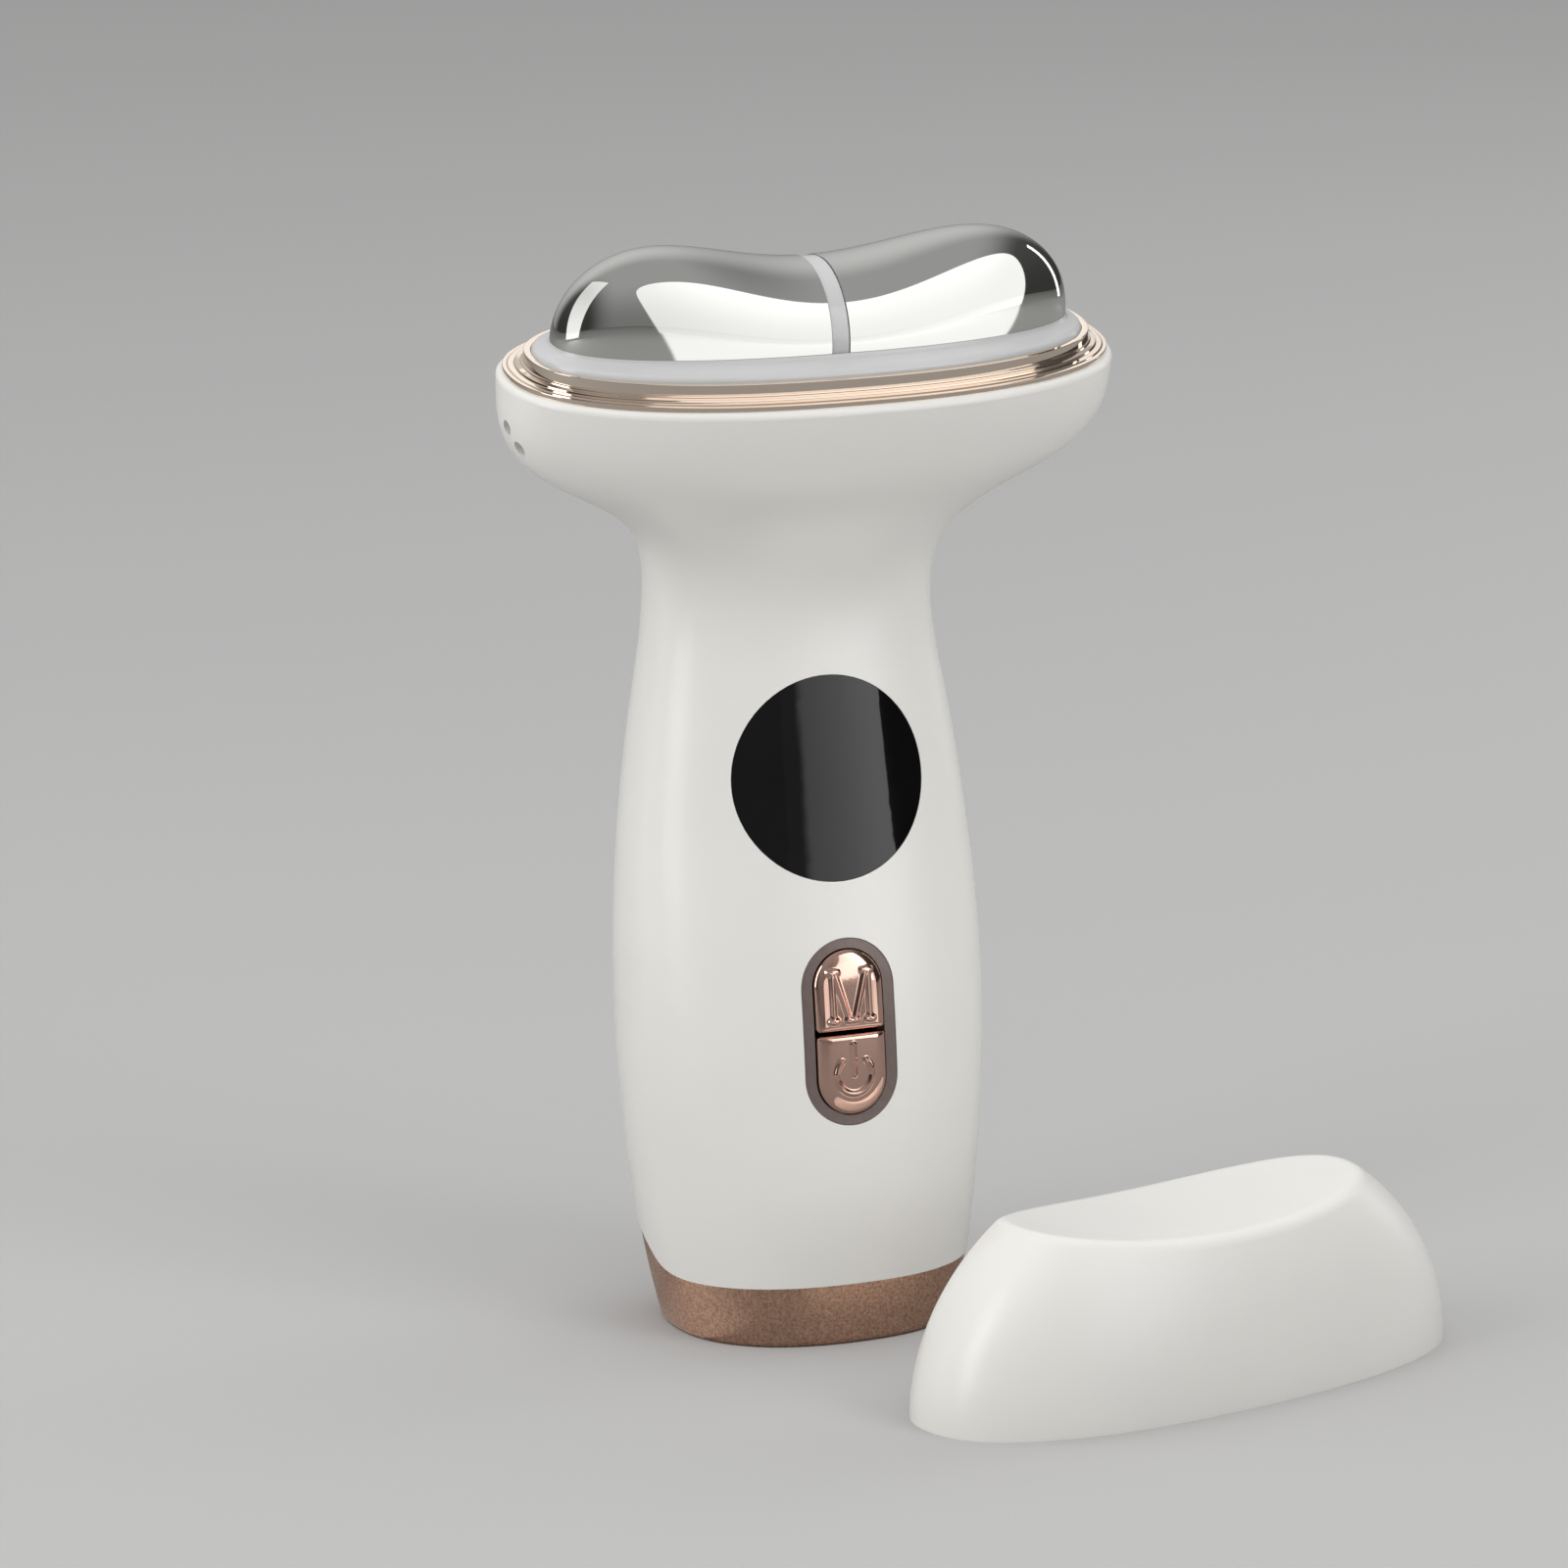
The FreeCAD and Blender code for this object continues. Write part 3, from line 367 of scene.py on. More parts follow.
# %% [markdown]
# ## Card for the upper key
# The face of the upper key is pale at both sides of its letter and darker in between. A low
# card in front, dim in its middle, gives it that. Painting the key in two tones would look
# alike from here, but it would be wrong from every other side.

# %% Card for the upper key
KEY_CARD = (23, -4.8, 0.42, 0.40, 0.11, 0.13)
KEY_CARD_SHADE = (0.1, 0.5, 0.15, 1.0)

key_card = soft_box("key_card", *KEY_CARD)
tree, across, _ = lamp_nodes(key_card)
aside = node_math(tree, "ABSOLUTE", from_middle(tree, across))
lamp_strength(tree, soft_span(tree, aside, *KEY_CARD_SHADE))
print("card:", key_card.name)

# %% [markdown]
# ## Tools for finishes
# Every finish is a Principled shader with a little life in it: a noise on Object
# coordinates moves the colour, the roughness and the surface by small amounts. Object
# coordinates are in metres here, so a noise scale of 1000 makes specks of about a
# millimetre. Small helpers keep each finish down to the numbers that matter.

# %% Helpers for finishes


def shader_of(material):
    """The Principled shader of a material."""
    return material.node_tree.nodes["Principled BSDF"]


def finish(name, colour, metallic, roughness):
    """New material with plain values, for the helpers below to enliven."""
    material = bpy.data.materials.new(name)
    material.use_nodes = True
    shader = shader_of(material)
    shader.inputs["Base Color"].default_value = (*colour, 1)
    shader.inputs["Metallic"].default_value = metallic
    shader.inputs["Roughness"].default_value = roughness
    return material


def speck(material, scale, detail, stretch=(1, 1, 1)):
    """Noise in the object's own space; returns its grey output."""
    tree = material.node_tree
    coords = tree.nodes.new("ShaderNodeTexCoord")
    mapping = tree.nodes.new("ShaderNodeMapping")
    mapping.inputs["Scale"].default_value = stretch
    noise = tree.nodes.new("ShaderNodeTexNoise")
    noise.inputs["Scale"].default_value = scale
    noise.inputs["Detail"].default_value = detail
    tree.links.new(coords.outputs["Object"], mapping.inputs["Vector"])
    tree.links.new(mapping.outputs["Vector"], noise.inputs["Vector"])
    return noise.outputs["Fac"]


print("helpers:", finish.__name__, speck.__name__)

# %% [markdown]
# ## What the noise moves
# The noise wanders through a surface's colour, its roughness and its height. Most values of a
# noise lie near its middle, so only that part is spread over the wanted range. One helper for
# all three would be shorter, but then each finish would have to name what it leaves alone.

# %% Helpers that use the noise
TONES_FROM = 0.3
TONES_TO = 0.7
ROUGH_FROM = 0.2
ROUGH_TO = 0.8


def vary_colour(material, grey, dark, light):
    """Colour that wanders between two tones."""
    tree = material.node_tree
    ramp = tree.nodes.new("ShaderNodeValToRGB")
    ramp.color_ramp.elements[0].position = TONES_FROM
    ramp.color_ramp.elements[0].color = (*dark, 1)
    ramp.color_ramp.elements[1].position = TONES_TO
    ramp.color_ramp.elements[1].color = (*light, 1)
    tree.links.new(grey, ramp.inputs["Fac"])
    tree.links.new(ramp.outputs["Color"], shader_of(material).inputs["Base Color"])


def vary_roughness(material, grey, low, high):
    """Roughness that wanders between two values."""
    tree = material.node_tree
    span = tree.nodes.new("ShaderNodeMapRange")
    span.inputs["From Min"].default_value = ROUGH_FROM
    span.inputs["From Max"].default_value = ROUGH_TO
    span.inputs["To Min"].default_value = low
    span.inputs["To Max"].default_value = high
    tree.links.new(grey, span.inputs["Value"])
    tree.links.new(span.outputs["Result"], shader_of(material).inputs["Roughness"])


def emboss(material, grey, strength, height):
    """Fine relief from a grey pattern; height is in metres."""
    tree = material.node_tree
    bump = tree.nodes.new("ShaderNodeBump")
    bump.inputs["Strength"].default_value = strength
    bump.inputs["Distance"].default_value = height
    tree.links.new(grey, bump.inputs["Height"])
    tree.links.new(bump.outputs["Normal"], shader_of(material).inputs["Normal"])


def clear_coat(material, weight, roughness):
    """Clear lacquer over a finish."""
    shader = shader_of(material)
    shader.inputs["Coat Weight"].default_value = weight
    shader.inputs["Coat Roughness"].default_value = roughness


def dress(material, *names):
    """Gives a material to the slots of some solids of the frame."""
    for name in names:
        for slot in nodes[name].material_slots:
            slot.material = material
    print(material.name, "on", ", ".join(names))


print("helpers:", vary_colour.__name__, vary_roughness.__name__, emboss.__name__)

# %% [markdown]
# ## Pearl white housing and cap
# The shells and the cap are moulded plastic with a pearl lacquer: nearly white, satin,
# with wide soft highlights. A clear coat over a rougher base gives the broad glow and the
# tighter gleam at once. A very fine ripple stands for the lacquer's orange peel.

# %% Pearl white
WHITE_PIECES = ("front_shell", "rear_shell", "protective_cap")

pearl = finish("pearl_white", colour=(0.80, 0.786, 0.75), metallic=0.0, roughness=0.38)
vary_colour(pearl, speck(pearl, scale=60, detail=3),
            dark=(0.79, 0.777, 0.742), light=(0.81, 0.795, 0.758))
vary_roughness(pearl, speck(pearl, scale=500, detail=2), low=0.34, high=0.40)
emboss(pearl, speck(pearl, scale=900, detail=1), strength=0.04, height=0.0001)
clear_coat(pearl, weight=0.4, roughness=0.32)
dress(pearl, *WHITE_PIECES)

# %% [markdown]
# ## Mirror chrome
# The two plates are chrome, polished to a mirror. A smooth metal without any noise would do,
# but chrome in use is never quite clean, so a slow noise lifts the roughness a little in
# patches.

# %% Mirror chrome
chrome = finish("plate_chrome", colour=(0.80, 0.805, 0.775), metallic=1.0, roughness=0.04)
vary_roughness(chrome, speck(chrome, scale=90, detail=4), low=0.02, high=0.06)
emboss(chrome, speck(chrome, scale=60, detail=2), strength=0.01, height=0.00005)
print(chrome.name, "for the plates")

# %% [markdown]
# ## Shape of a plate
# A mirror shows every facet. So each plate is a fine grid that two formulas bend into the
# saddle: half ellipses stand across the head, and their height follows a ridge that climbs
# from the dip in the middle and falls round the end. A coarse cage with subdivision would do
# as well, but formulas keep the curvature even. Lengths are millimetres in a frame on the
# head.

# %% Shape of a plate
HEAD_MIDDLE = Vector((0, -1.1, 141.8)) * MM
HEAD_TILT = math.radians(12.1)
OVAL_POWER = 2.3
PLATE_HALF_LENGTH = 39.6
PLATE_HALF_DEPTH = 11.4
PLATE_BASE = 4.1
PLATE_START = 1.4
DIP_HEIGHT = 10.9
CREST_CLIMB = 4.45
CREST_PLACE = 31.0
END_POWER = 4.5
END_ROUND = 0.4

head_axes = Matrix.Rotation(HEAD_TILT, 4, "X")
on_head = Matrix.Translation(HEAD_MIDDLE) @ head_axes @ Matrix.Scale(MM, 4)


def plate_point(along, round_share):
    """Point of the right plate in the head's frame, from two shares between 0 and 1."""
    first = math.asin(PLATE_START / PLATE_HALF_LENGTH)
    share = math.sin(first + (math.pi / 2 - first) * along)
    climb = math.sin(math.pi / 2 * share * PLATE_HALF_LENGTH / CREST_PLACE) ** 2
    ridge = (DIP_HEIGHT + CREST_CLIMB * climb) * (1 - share ** END_POWER) ** END_ROUND
    half = PLATE_HALF_DEPTH * (1 - share ** OVAL_POWER) ** (1 / OVAL_POWER)
    turn = math.pi * round_share
    x = PLATE_HALF_LENGTH * share
    return Vector((x, -half * math.cos(turn), PLATE_BASE + ridge * math.sin(turn)))


print("dip of the saddle at", round(plate_point(0, 0.5).z, 2), "mm")

# %% [markdown]
# ## Chrome plates
# Each plate is a thin shell. The grid of the right one is bent by the formula, and the left
# one is its mirror image. A Solidify modifier then gives the sheet its thickness, towards the
# inside, so that the outside stays where the formula puts it. Extruding the faces would do
# too, but the modifier keeps the thickness a single number.

# %% Chrome plates
PLATES = (("right_plate", "right_electrode", False), ("left_plate", "left_electrode", True))
PLATE_THICK = 1.2
PLATE_ROWS = 80
PLATE_COLUMNS = 56
SEAM = 0.001


def add_piece(name, bm, material, body):
    """Turns a bmesh into a smooth piece that rides on a body."""
    mesh = bpy.data.meshes.new(name)
    bm.to_mesh(mesh)
    bm.free()
    for face in mesh.polygons:
        face.use_smooth = True
    mesh.materials.append(material)
    piece = bpy.data.objects.new(name, mesh)
    scene.collection.objects.link(piece)
    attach(piece, body)
    print(name, len(mesh.polygons), "faces on", body)
    return piece


plates = []
for name, node, mirrored in PLATES:
    bm = bmesh.new()
    bmesh.ops.create_grid(bm, x_segments=PLATE_ROWS, y_segments=PLATE_COLUMNS, size=0.5)
    for vert in bm.verts:
        vert.co = plate_point(min(1.0, vert.co.x + 0.5), vert.co.y + 0.5)
    bmesh.ops.remove_doubles(bm, verts=bm.verts, dist=SEAM)
    if mirrored:
        bmesh.ops.scale(bm, vec=(-1, 1, 1), verts=bm.verts)
        bmesh.ops.reverse_faces(bm, faces=bm.faces)
    for edge in bm.edges:
        edge.smooth = not edge.is_boundary
    bmesh.ops.transform(bm, matrix=on_head, verts=bm.verts)
    plate = add_piece(name, bm, chrome, "massager")
    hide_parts(node)
    skin = plate.modifiers.new("sheet", "SOLIDIFY")
    skin.thickness = PLATE_THICK * MM
    skin.offset = -1
    plates.append(plate)

# %% [markdown]
# ## A lathe for rings
# The ring under the plates and the collar inside it have the same section all the way round.
# The section is drawn once, its corners are rounded, and it is turned like a ring on a lathe;
# then every point is moved from the circle to the head's oval. Following the oval with a
# curve and a bevel object is the other way, but that would slant the steps at the narrow ends.

# %% Lathe for rings
LATHE_RADIUS = 100.0
LATHE_STEPS = 240
ROUNDING_STEPS = 3


def turned_ring(section, rounding):
    """Closed section turned on a lathe; its corners are given as inset and height."""
    bm = bmesh.new()
    corners = [bm.verts.new((LATHE_RADIUS - inset, 0, height)) for inset, height in section]
    bm.faces.new(corners)
    bmesh.ops.bevel(bm, geom=corners, offset=rounding, offset_type="OFFSET", affect="VERTICES",
                    segments=ROUNDING_STEPS, profile=0.5, material=-1)
    bmesh.ops.delete(bm, geom=bm.faces[:], context="FACES_ONLY")
    bmesh.ops.spin(bm, geom=bm.verts[:] + bm.edges[:], axis=(0, 0, 1), cent=(0, 0, 0),
                   steps=LATHE_STEPS, angle=2 * math.pi, use_merge=True)
    bmesh.ops.remove_doubles(bm, verts=bm.verts, dist=SEAM)
    return bm


def press_oval(bm, half_length, half_depth, length_fall, depth_fall):
    """Moves a turned ring to an oval that shrinks by two falls for each unit of inset."""
    for vert in bm.verts:
        radius = math.hypot(vert.co.x, vert.co.y)
        c = vert.co.x / radius
        s = vert.co.y / radius
        inset = LATHE_RADIUS - radius
        length = half_length - inset * length_fall
        depth = half_depth - inset * depth_fall
        vert.co.x = math.copysign(abs(c) ** (2 / OVAL_POWER), c) * length
        vert.co.y = math.copysign(abs(s) ** (2 / OVAL_POWER), s) * depth
    bmesh.ops.recalc_face_normals(bm, faces=bm.faces)
    bmesh.ops.transform(bm, matrix=on_head, verts=bm.verts)


def even_normals(piece):
    """Keeps flat bands flat in a mirror finish: large faces lead the normals."""
    even = piece.modifiers.new("even_normals", "WEIGHTED_NORMAL")
    even.mode = "FACE_AREA"


print("lathe:", LATHE_STEPS, "steps")

# %% [markdown]
# ## Champagne gold ring
# The stepped ring under the plates is plated plastic in a pale gold. Its steps catch light
# and dark from the room in turn, which draws the fine lines of the photograph. Lines in the
# material would be quicker, but only real steps change with the view.

# %% Champagne gold ring
RING_HALF_LENGTH = 45.8
RING_HALF_DEPTH = 19.25
RING_ROUNDING = 0.07
# inset from the ring's edge and height of each corner of the section
RING_SECTION = (
    (0.0, 0.0), (0.0, 0.8), (0.6, 0.8), (0.75, 0.95), (1.6, 1.0), (1.65, 1.3),
    (2.45, 1.4), (2.5, 1.6), (2.8, 1.65), (2.85, 3.1), (3.85, 3.1), (3.9, 0.0),
)

champagne = finish("champagne_gold", colour=(0.93, 0.79, 0.67), metallic=1.0, roughness=0.07)
vary_colour(champagne, speck(champagne, scale=120, detail=2),
            dark=(0.92, 0.775, 0.65), light=(0.94, 0.805, 0.69))
vary_roughness(champagne, speck(champagne, scale=300, detail=3), low=0.05, high=0.10)
emboss(champagne, speck(champagne, scale=900, detail=1), strength=0.02, height=0.00005)

bm = turned_ring(RING_SECTION, RING_ROUNDING)
press_oval(bm, RING_HALF_LENGTH, RING_HALF_DEPTH, length_fall=1, depth_fall=1)
ring = add_piece("ring", bm, champagne, "massager")
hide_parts("trim_ring")
even_normals(ring)

# %% [markdown]
# ## Who sees which lamp
# A lamp can be linked to some pieces only. The plates and the ring see the standing card and
# not the front soft box, which stands at the same place; the plates alone see the card on the
# table, because it would wash out the ring's brown wall and the keys. Ring, plates, foot and
# white pieces each have a lamp of their own as well. Matt surfaces beside the mirrors don't
# gather light from them, which would only show as bright specks.

# %% Light links


def link_light(lamp, state, members):
    """Lets a lamp light some pieces alone (INCLUDE), or all others (EXCLUDE)."""
    group = bpy.data.collections.new("for_" + lamp.name)
    for piece in members:
        group.objects.link(piece)
    for member in group.collection_objects:
        member.light_linking.link_state = state
    lamp.light_linking.receiver_collection = group


polished_head = plates + [ring]
link_light(plate_box, "INCLUDE", polished_head)
link_light(table_card, "INCLUDE", plates)
link_light(boxes["front_box"], "EXCLUDE", polished_head)
link_light(foot_card, "INCLUDE", [nodes["foot_cap"]])
link_light(ring_box, "INCLUDE", [ring])
link_light(strip_box, "INCLUDE", plates)
link_light(boxes["left_box"], "EXCLUDE", plates)
link_light(boxes["low_left"], "INCLUDE", [nodes[name] for name in WHITE_PIECES])
link_light(boxes["low_box"], "INCLUDE", [nodes["front_shell"]])
for piece in polished_head:
    piece.visible_diffuse = False
print("light groups:", [group.name for group in bpy.data.collections])

# %% [markdown]
# ## Rose gold keys and foot
# Keys and foot share one slot, but not one finish. The keys are polished, while the foot
# has a satin lustre with a fine sparkle, as a metallic lacquer shows it. One material with
# a mask would do, but two with the same hue let each noise have its own scale.

# %% Rose gold
key_gold = finish("key_rose_gold", colour=(0.75, 0.48, 0.395), metallic=1.0, roughness=0.05)
vary_colour(key_gold, speck(key_gold, scale=200, detail=2),
            dark=(0.74, 0.465, 0.38), light=(0.76, 0.495, 0.41))
vary_roughness(key_gold, speck(key_gold, scale=400, detail=3), low=0.03, high=0.07)
emboss(key_gold, speck(key_gold, scale=1200, detail=1), strength=0.02, height=0.00005)
print(key_gold.name, "for the keys")

foot_gold = finish("foot_rose_gold", colour=(0.645, 0.395, 0.285), metallic=1.0, roughness=0.3)
vary_colour(foot_gold, speck(foot_gold, scale=2600, detail=2),
            dark=(0.46, 0.27, 0.187), light=(0.83, 0.52, 0.383))
vary_roughness(foot_gold, speck(foot_gold, scale=1800, detail=2), low=0.22, high=0.38)
emboss(foot_gold, speck(foot_gold, scale=2200, detail=2), strength=0.25, height=0.00006)
dress(foot_gold, "foot_cap")

# %% [markdown]
# ## Light guide
# The grey rim and the rib between the plates are one cloudy piece that spreads the lamps'
# light. It is so cloudy that it looks solid, so plain grey under a thin gloss is enough; real
# transmission would only show the boards below, which the cloudy plastic hides.

# %% Cloudy grey
cloudy = finish("guide_grey", colour=(0.58, 0.585, 0.58), metallic=0.0, roughness=0.25)
vary_colour(cloudy, speck(cloudy, scale=80, detail=2),
            dark=(0.57, 0.575, 0.57), light=(0.59, 0.595, 0.59))
emboss(cloudy, speck(cloudy, scale=800, detail=1), strength=0.02, height=0.0001)
clear_coat(cloudy, weight=0.2, roughness=0.1)
dress(cloudy, "light_guide")

# %% [markdown]
# ## Collar of the light guide
# A collar gives the rim its round shoulder and the small upward sweep where the plates stand
# on it. Moving points of the solid's own mesh would do, but that mesh stays as it was made,
# and the lathe keeps the collar even all the way round.

# %% Collar of the light guide
COLLAR_HALF_LENGTH = 41.85
COLLAR_HALF_DEPTH = 15.3
COLLAR_ROUNDING = 0.25
TENTHS = 10
# corners of the section: inset in tenths of the way from the ring to the plates, height
COLLAR_SECTION = (
    (0.0, 2.4), (0.0, 3.2), (0.7, 3.62), (2.2, 3.9), (6.0, 4.15), (8.2, 4.35),
    (9.3, 4.62), (9.8, 5.0), (10.1, 5.0), (10.1, 4.0), (5.0, 3.4), (0.5, 2.4),
)

bm = turned_ring(COLLAR_SECTION, COLLAR_ROUNDING)
press_oval(bm, COLLAR_HALF_LENGTH, COLLAR_HALF_DEPTH,
           (COLLAR_HALF_LENGTH - PLATE_HALF_LENGTH) / TENTHS,
           (COLLAR_HALF_DEPTH - PLATE_HALF_DEPTH) / TENTHS)
collar = add_piece("guide_collar", bm, cloudy, "massager")
even_normals(collar)

# %% [markdown]
# ## Display window and button frame
# The round window is smoked acrylic, black until the lamps behind it light. It is as
# smooth as glass, so the front soft box lies on it as a grey band. The frame round the
# keys is a taupe lacquer, between plastic and metal. Both solids have the right shape
# already, so a finish is all that they need.

# %% Smoked window and taupe frame
WINDOW_GLOSS = 0.4

smoked = finish("display_black", colour=(0.003, 0.003, 0.003), metallic=0.0, roughness=0.05)
vary_colour(smoked, speck(smoked, scale=150, detail=2),
            dark=(0.0025, 0.0025, 0.0025), light=(0.0035, 0.0035, 0.0035))
vary_roughness(smoked, speck(smoked, scale=120, detail=3), low=0.03, high=0.06)
emboss(smoked, speck(smoked, scale=300, detail=1), strength=0.004, height=0.00005)
shader_of(smoked).inputs["Specular IOR Level"].default_value = WINDOW_GLOSS
dress(smoked, "display_window")

taupe = finish("frame_taupe", colour=(0.195, 0.15, 0.138), metallic=0.35, roughness=0.32)
vary_colour(taupe, speck(taupe, scale=900, detail=2),
            dark=(0.185, 0.14, 0.128), light=(0.205, 0.16, 0.148))
vary_roughness(taupe, speck(taupe, scale=700, detail=2), low=0.27, high=0.36)
emboss(taupe, speck(taupe, scale=1500, detail=2), strength=0.06, height=0.00005)
dress(taupe, "button_frame")

# %% [markdown]
# ## What sits inside
# Boards, cell, motor and screws hide in the housing, but a cut-away or an exploded view
# shows them. Each gets the look that its material has on a bench: solder mask with faint
# copper lanes, foil with wrinkles, turned steel, matt black plastic. Plain colours would
# be quicker, but they make a cut-away look like a toy.

# %% Boards and black plastic
LANES = (1, 6, 1)

mask = finish("board_green", colour=(0.02, 0.12, 0.05), metallic=0.0, roughness=0.35)
vary_colour(mask, speck(mask, scale=350, detail=1, stretch=LANES),
            dark=(0.012, 0.085, 0.035), light=(0.03, 0.16, 0.07))
emboss(mask, speck(mask, scale=350, detail=1, stretch=LANES), strength=0.2, height=0.00005)
dress(mask, "main_board", "led_board", "charge_board")

black = finish("black_plastic", colour=(0.025, 0.025, 0.027), metallic=0.0, roughness=0.5)
vary_roughness(black, speck(black, scale=900, detail=2), low=0.42, high=0.58)
emboss(black, speck(black, scale=2000, detail=2), strength=0.2, height=0.00005)
dress(black, "display_module", "mode_switch", "power_switch", "battery_tray", "motor_clamp",
      "buzzer")

# %% [markdown]
# ## Foil, steel, lamps and brass
# The cell is wrapped in foil, motor and screws are turned from steel, the small lamps are
# pale and the contacts are brass. A noise that is stretched along one axis stands for the
# marks of the turning tool. A picture of scratches would do, but a noise needs no file.

# %% Foil, steel, lamps and brass
TURNING = (1, 1, 5)

foil = finish("cell_foil", colour=(0.72, 0.73, 0.75), metallic=1.0, roughness=0.3)
vary_roughness(foil, speck(foil, scale=200, detail=3), low=0.22, high=0.42)
emboss(foil, speck(foil, scale=160, detail=4), strength=0.35, height=0.0002)
dress(foil, "battery")

steel = finish("turned_steel", colour=(0.56, 0.57, 0.58), metallic=1.0, roughness=0.3)
vary_roughness(steel, speck(steel, scale=600, detail=2, stretch=TURNING), low=0.22, high=0.38)
emboss(steel, speck(steel, scale=900, detail=1, stretch=TURNING), strength=0.1, height=0.00005)
dress(steel, "motor_can", "motor_rotor", "head_screws", "board_screws", "charge_socket")

lamp_white = finish("lamp_white", colour=(0.85, 0.83, 0.72), metallic=0.0, roughness=0.3)
vary_colour(lamp_white, speck(lamp_white, scale=1500, detail=2),
            dark=(0.82, 0.79, 0.66), light=(0.88, 0.87, 0.78))
emboss(lamp_white, speck(lamp_white, scale=2500, detail=1), strength=0.1, height=0.00005)
dress(lamp_white, "led_chips")

brass = finish("contact_brass", colour=(0.80, 0.60, 0.28), metallic=1.0, roughness=0.22)
vary_roughness(brass, speck(brass, scale=1500, detail=2), low=0.16, high=0.30)
emboss(brass, speck(brass, scale=1800, detail=1), strength=0.08, height=0.00005)
dress(brass, "left_contact", "right_contact")

# %% [markdown]
# ## Crowned keys
# The keys are polished pillows. Wide soft shoulders run from the crowned faces down to the
# frame, and a sign grows out of each face with soft flanks, as on a die casting. Bevels on the
# solids would give the shoulders, but not the flanks. So each face is a fine grid that is
# pressed to the key's outline and lifted by a formula: the crown, less the shoulder near the
# rim, plus a ridge along the lines of the sign. Below the face, the key keeps the flange and the
# stem of its solid. All numbers are millimetres in a frame on the keys: x to the right, y up
# the keys from the split between them, z out of them.

# %% Frame on the keys
KEY_MIDDLE = Vector((0, -16.0, 45.9)) * MM
KEY_OUT = Vector((0, -0.99347, 0.1141)).normalized()
KEY_RIGHT = Vector((1, 0, 0))
KEY_UP = KEY_OUT.cross(KEY_RIGHT)

key_axes = Matrix((KEY_RIGHT, KEY_UP, KEY_OUT)).transposed().to_4x4()
on_keys = Matrix.Translation(KEY_MIDDLE) @ key_axes @ Matrix.Scale(MM, 4)
print("keys face", [round(v, 3) for v in KEY_OUT])

# %% [markdown]
# ## The lines of the signs
# The upper key carries a capital M with slab feet, the lower one the usual power sign, an open
# circle with a bar. Both are drawn as lines without width. A function tells how far a point of
# the face is from the nearest line, and the ridge follows from that distance. A text object
# would bring a font's sharp edges instead. The letter is the same on both sides, so half of it
# is enough.

# %% Lines of the signs
# ends of each line: x and y of the first, x and y of the second
HALF_M = (
    (2.80, 1.85, 2.80, 8.85), (2.40, 8.85, 0.42, 1.90), (2.25, 1.80, 3.35, 1.80),
    (0.00, 1.80, 0.70, 1.80), (1.90, 8.95, 3.35, 8.95),
)
LINE_BLEND = 0.5
POWER_MIDDLE = -6.15
POWER_RADIUS = 2.75
POWER_GAP = math.radians(43)
POWER_BAR = (0, -1.75, 0, -6.1)


def line_distance(x, y, x0, y0, x1, y1):
    """Distance of a point from a straight line between two others."""
    run = x1 - x0
    rise = y1 - y0
    share = ((x - x0) * run + (y - y0) * rise) / (run * run + rise * rise)
    share = max(0.0, min(1.0, share))
    return math.hypot(x - x0 - run * share, y - y0 - rise * share)


def soft_least(first, second, blend):
    """Lesser of two lengths, with a round passage where they are alike."""
    near = max(0.0, blend - abs(first - second))
    return min(first, second) - near * near / (4 * blend)


def mode_lines(x, y):
    """Distance from the lines of the letter."""
    nearest = line_distance(abs(x), y, *HALF_M[0])
    for line in HALF_M[1:]:
        nearest = soft_least(nearest, line_distance(abs(x), y, *line), LINE_BLEND)
    return nearest


def power_lines(x, y):
    """Distance from the open circle and the bar."""
    up = y - POWER_MIDDLE
    circle = abs(math.hypot(x, up) - POWER_RADIUS)
    if abs(math.atan2(x, up)) < POWER_GAP:
        end_x = POWER_RADIUS * math.sin(POWER_GAP)
        end_up = POWER_RADIUS * math.cos(POWER_GAP)
        circle = math.hypot(abs(x) - end_x, up - end_up)
    return soft_least(circle, line_distance(x, y, *POWER_BAR), LINE_BLEND)


print("lines of the letter:", 2 * len(HALF_M))

# %% [markdown]
# ## Faces of the keys
# A key's outline is half a pill. Rows of the grid take the pill's width at their height, and
# rows and columns crowd towards the rim, where the shoulder turns steep. The formula for the
# shoulder is a quarter of an ellipse over the distance from the rim.

# %% Height of a key's face
KEY_HALF_WIDTH = 5.3
KEY_START = 0.25
KEY_END = 11.95
KEY_CORNER = 0.8
CORNER_BLEND = 0.94
KEY_TOP = 0.694
CROWN_ACROSS = 0.0066
CROWN_ALONG = 0.0023
SHOULDER = 2.0
SHOULDER_DROP = 0.8
SPLIT_STEEP = 2.5
RIDGE_HALF_WIDTH = 0.6
RIDGE_HEIGHT = 0.36


def key_half_width(y):
    """Half of a key's width at a distance from the middle of the pill."""
    corner = max(0.0, KEY_CORNER - (y - KEY_START))
    high = max(0.0, y - (KEY_END - KEY_HALF_WIDTH))
    pill = math.sqrt(max(0.0, KEY_HALF_WIDTH ** 2 - high ** 2))
    return pill - KEY_CORNER + math.sqrt(KEY_CORNER ** 2 - corner ** 2)


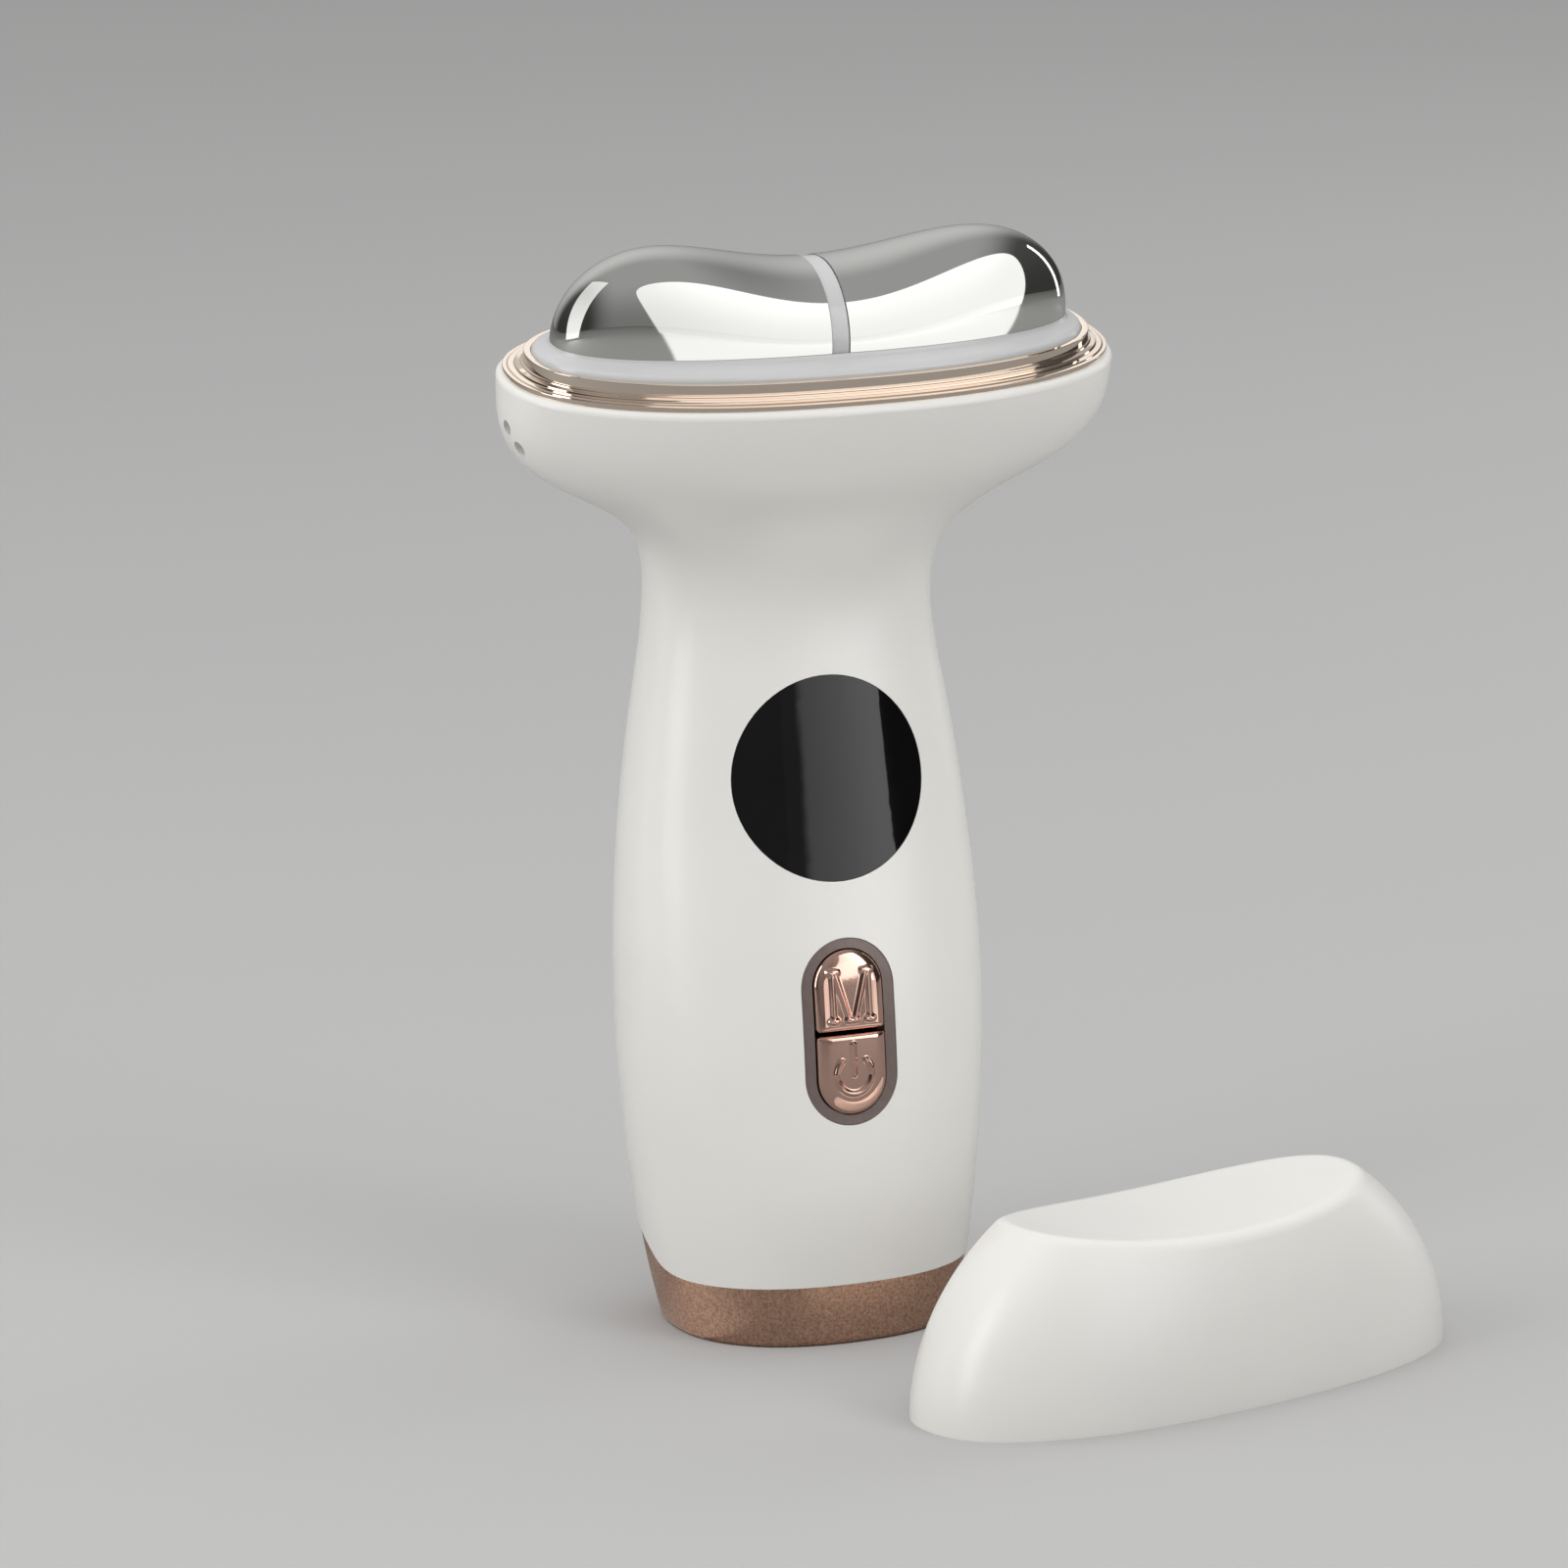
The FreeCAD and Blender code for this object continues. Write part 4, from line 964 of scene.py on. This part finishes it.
def key_height(x, y, lines):
    """Height of a key's face: crown, less the shoulder, plus the ridge of the sign."""
    high = max(0.0, abs(y) - (KEY_END - KEY_HALF_WIDTH))
    side = KEY_HALF_WIDTH - math.hypot(x, high)
    split = (abs(y) - KEY_START) * SPLIT_STEEP
    rim = soft_least(side, split, CORNER_BLEND)
    fall = 1 - max(0.0, min(1.0, rim / SHOULDER))
    shoulder = SHOULDER_DROP * (1 - math.sqrt(1 - fall * fall))
    share = max(0.0, min(1.0, lines(x, y) / RIDGE_HALF_WIDTH))
    ridge = RIDGE_HEIGHT * (0.5 + 0.5 * math.cos(math.pi * share))
    return KEY_TOP - CROWN_ACROSS * x * x - CROWN_ALONG * y * y - shoulder + ridge


print("face of a key at", KEY_TOP, "mm, ridge", RIDGE_HEIGHT, "mm")

# %% [markdown]
# ## From a face to a key
# A face alone is only a sheet. Its rim is drawn down as a wall and closed, and below it the
# key keeps the flange and the stem of its solid, cut off level. A boolean could join the two,
# but closed bodies that meet at one cut need none.

# %% Face and stem
KEY_CUT = -0.6
KEY_GRID = 200
KEY_SEAM = 0.002


def close_holes(bm):
    """Fills every open outline."""
    bmesh.ops.holes_fill(bm, edges=[edge for edge in bm.edges if edge.is_boundary], sides=0)


def key_face(up, lines):
    """Closed pillow of the upper key (up is 1) or the lower one (up is -1)."""
    bm = bmesh.new()
    bmesh.ops.create_grid(bm, x_segments=KEY_GRID, y_segments=KEY_GRID, size=0.5)
    for vert in bm.verts:
        share = 0.5 - 0.5 * math.cos(math.pi * (vert.co.y + 0.5))
        y = KEY_START + (KEY_END - KEY_START) * share
        x = key_half_width(y) * math.sin(math.pi * vert.co.x)
        vert.co = (x, up * y, key_height(x, up * y, lines))
    bmesh.ops.remove_doubles(bm, verts=bm.verts, dist=KEY_SEAM)
    rim = [edge for edge in bm.edges if edge.is_boundary]
    wall = bmesh.ops.extrude_edge_only(bm, edges=rim)["geom"]
    for item in wall:
        if isinstance(item, bmesh.types.BMVert):
            item.co.z = KEY_CUT
    close_holes(bm)
    bmesh.ops.recalc_face_normals(bm, faces=bm.faces)
    bmesh.ops.transform(bm, matrix=on_keys, verts=bm.verts)
    return bm


def key_stem(node):
    """What lies below the face: the solid's own flange and stem, cut off level."""
    bm = bmesh.new()
    bm.from_mesh(nodes[node].data)
    bmesh.ops.remove_doubles(bm, verts=bm.verts, dist=SEAM * MM)
    bmesh.ops.bisect_plane(bm, geom=bm.verts[:] + bm.edges[:] + bm.faces[:], clear_outer=True,
                           plane_co=on_keys @ Vector((0, 0, KEY_CUT)), plane_no=KEY_OUT)
    close_holes(bm)
    return bm


print("grid of a key:", KEY_GRID, "x", KEY_GRID)

# %% [markdown]
# ## The two keys
# Each key is one piece that rides on its own body, so that it can be pressed. Edges with a
# steep turn are marked sharp, so that flange and stem stay crisp; splitting the mesh there
# would look alike, but it would leave the bodies open.

# %% Keys
SHARP = math.radians(35)
KEYS = (
    ("mode_pillow", "mode_button", "mode_key", 1, mode_lines),
    ("power_pillow", "power_button", "power_key", -1, power_lines),
)

pillows = {}
for name, node, body, up, lines in KEYS:
    bm = key_face(up, lines)
    stem = key_stem(node)
    mesh = bpy.data.meshes.new("stem")
    stem.to_mesh(mesh)
    stem.free()
    bm.from_mesh(mesh)
    bpy.data.meshes.remove(mesh)
    for edge in bm.edges:
        edge.smooth = edge.calc_face_angle(0.0) < SHARP
    pillow = add_piece(name, bm, key_gold, body)
    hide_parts(node)
    pillows[name] = pillow
link_light(key_card, "INCLUDE", [pillows["mode_pillow"]])
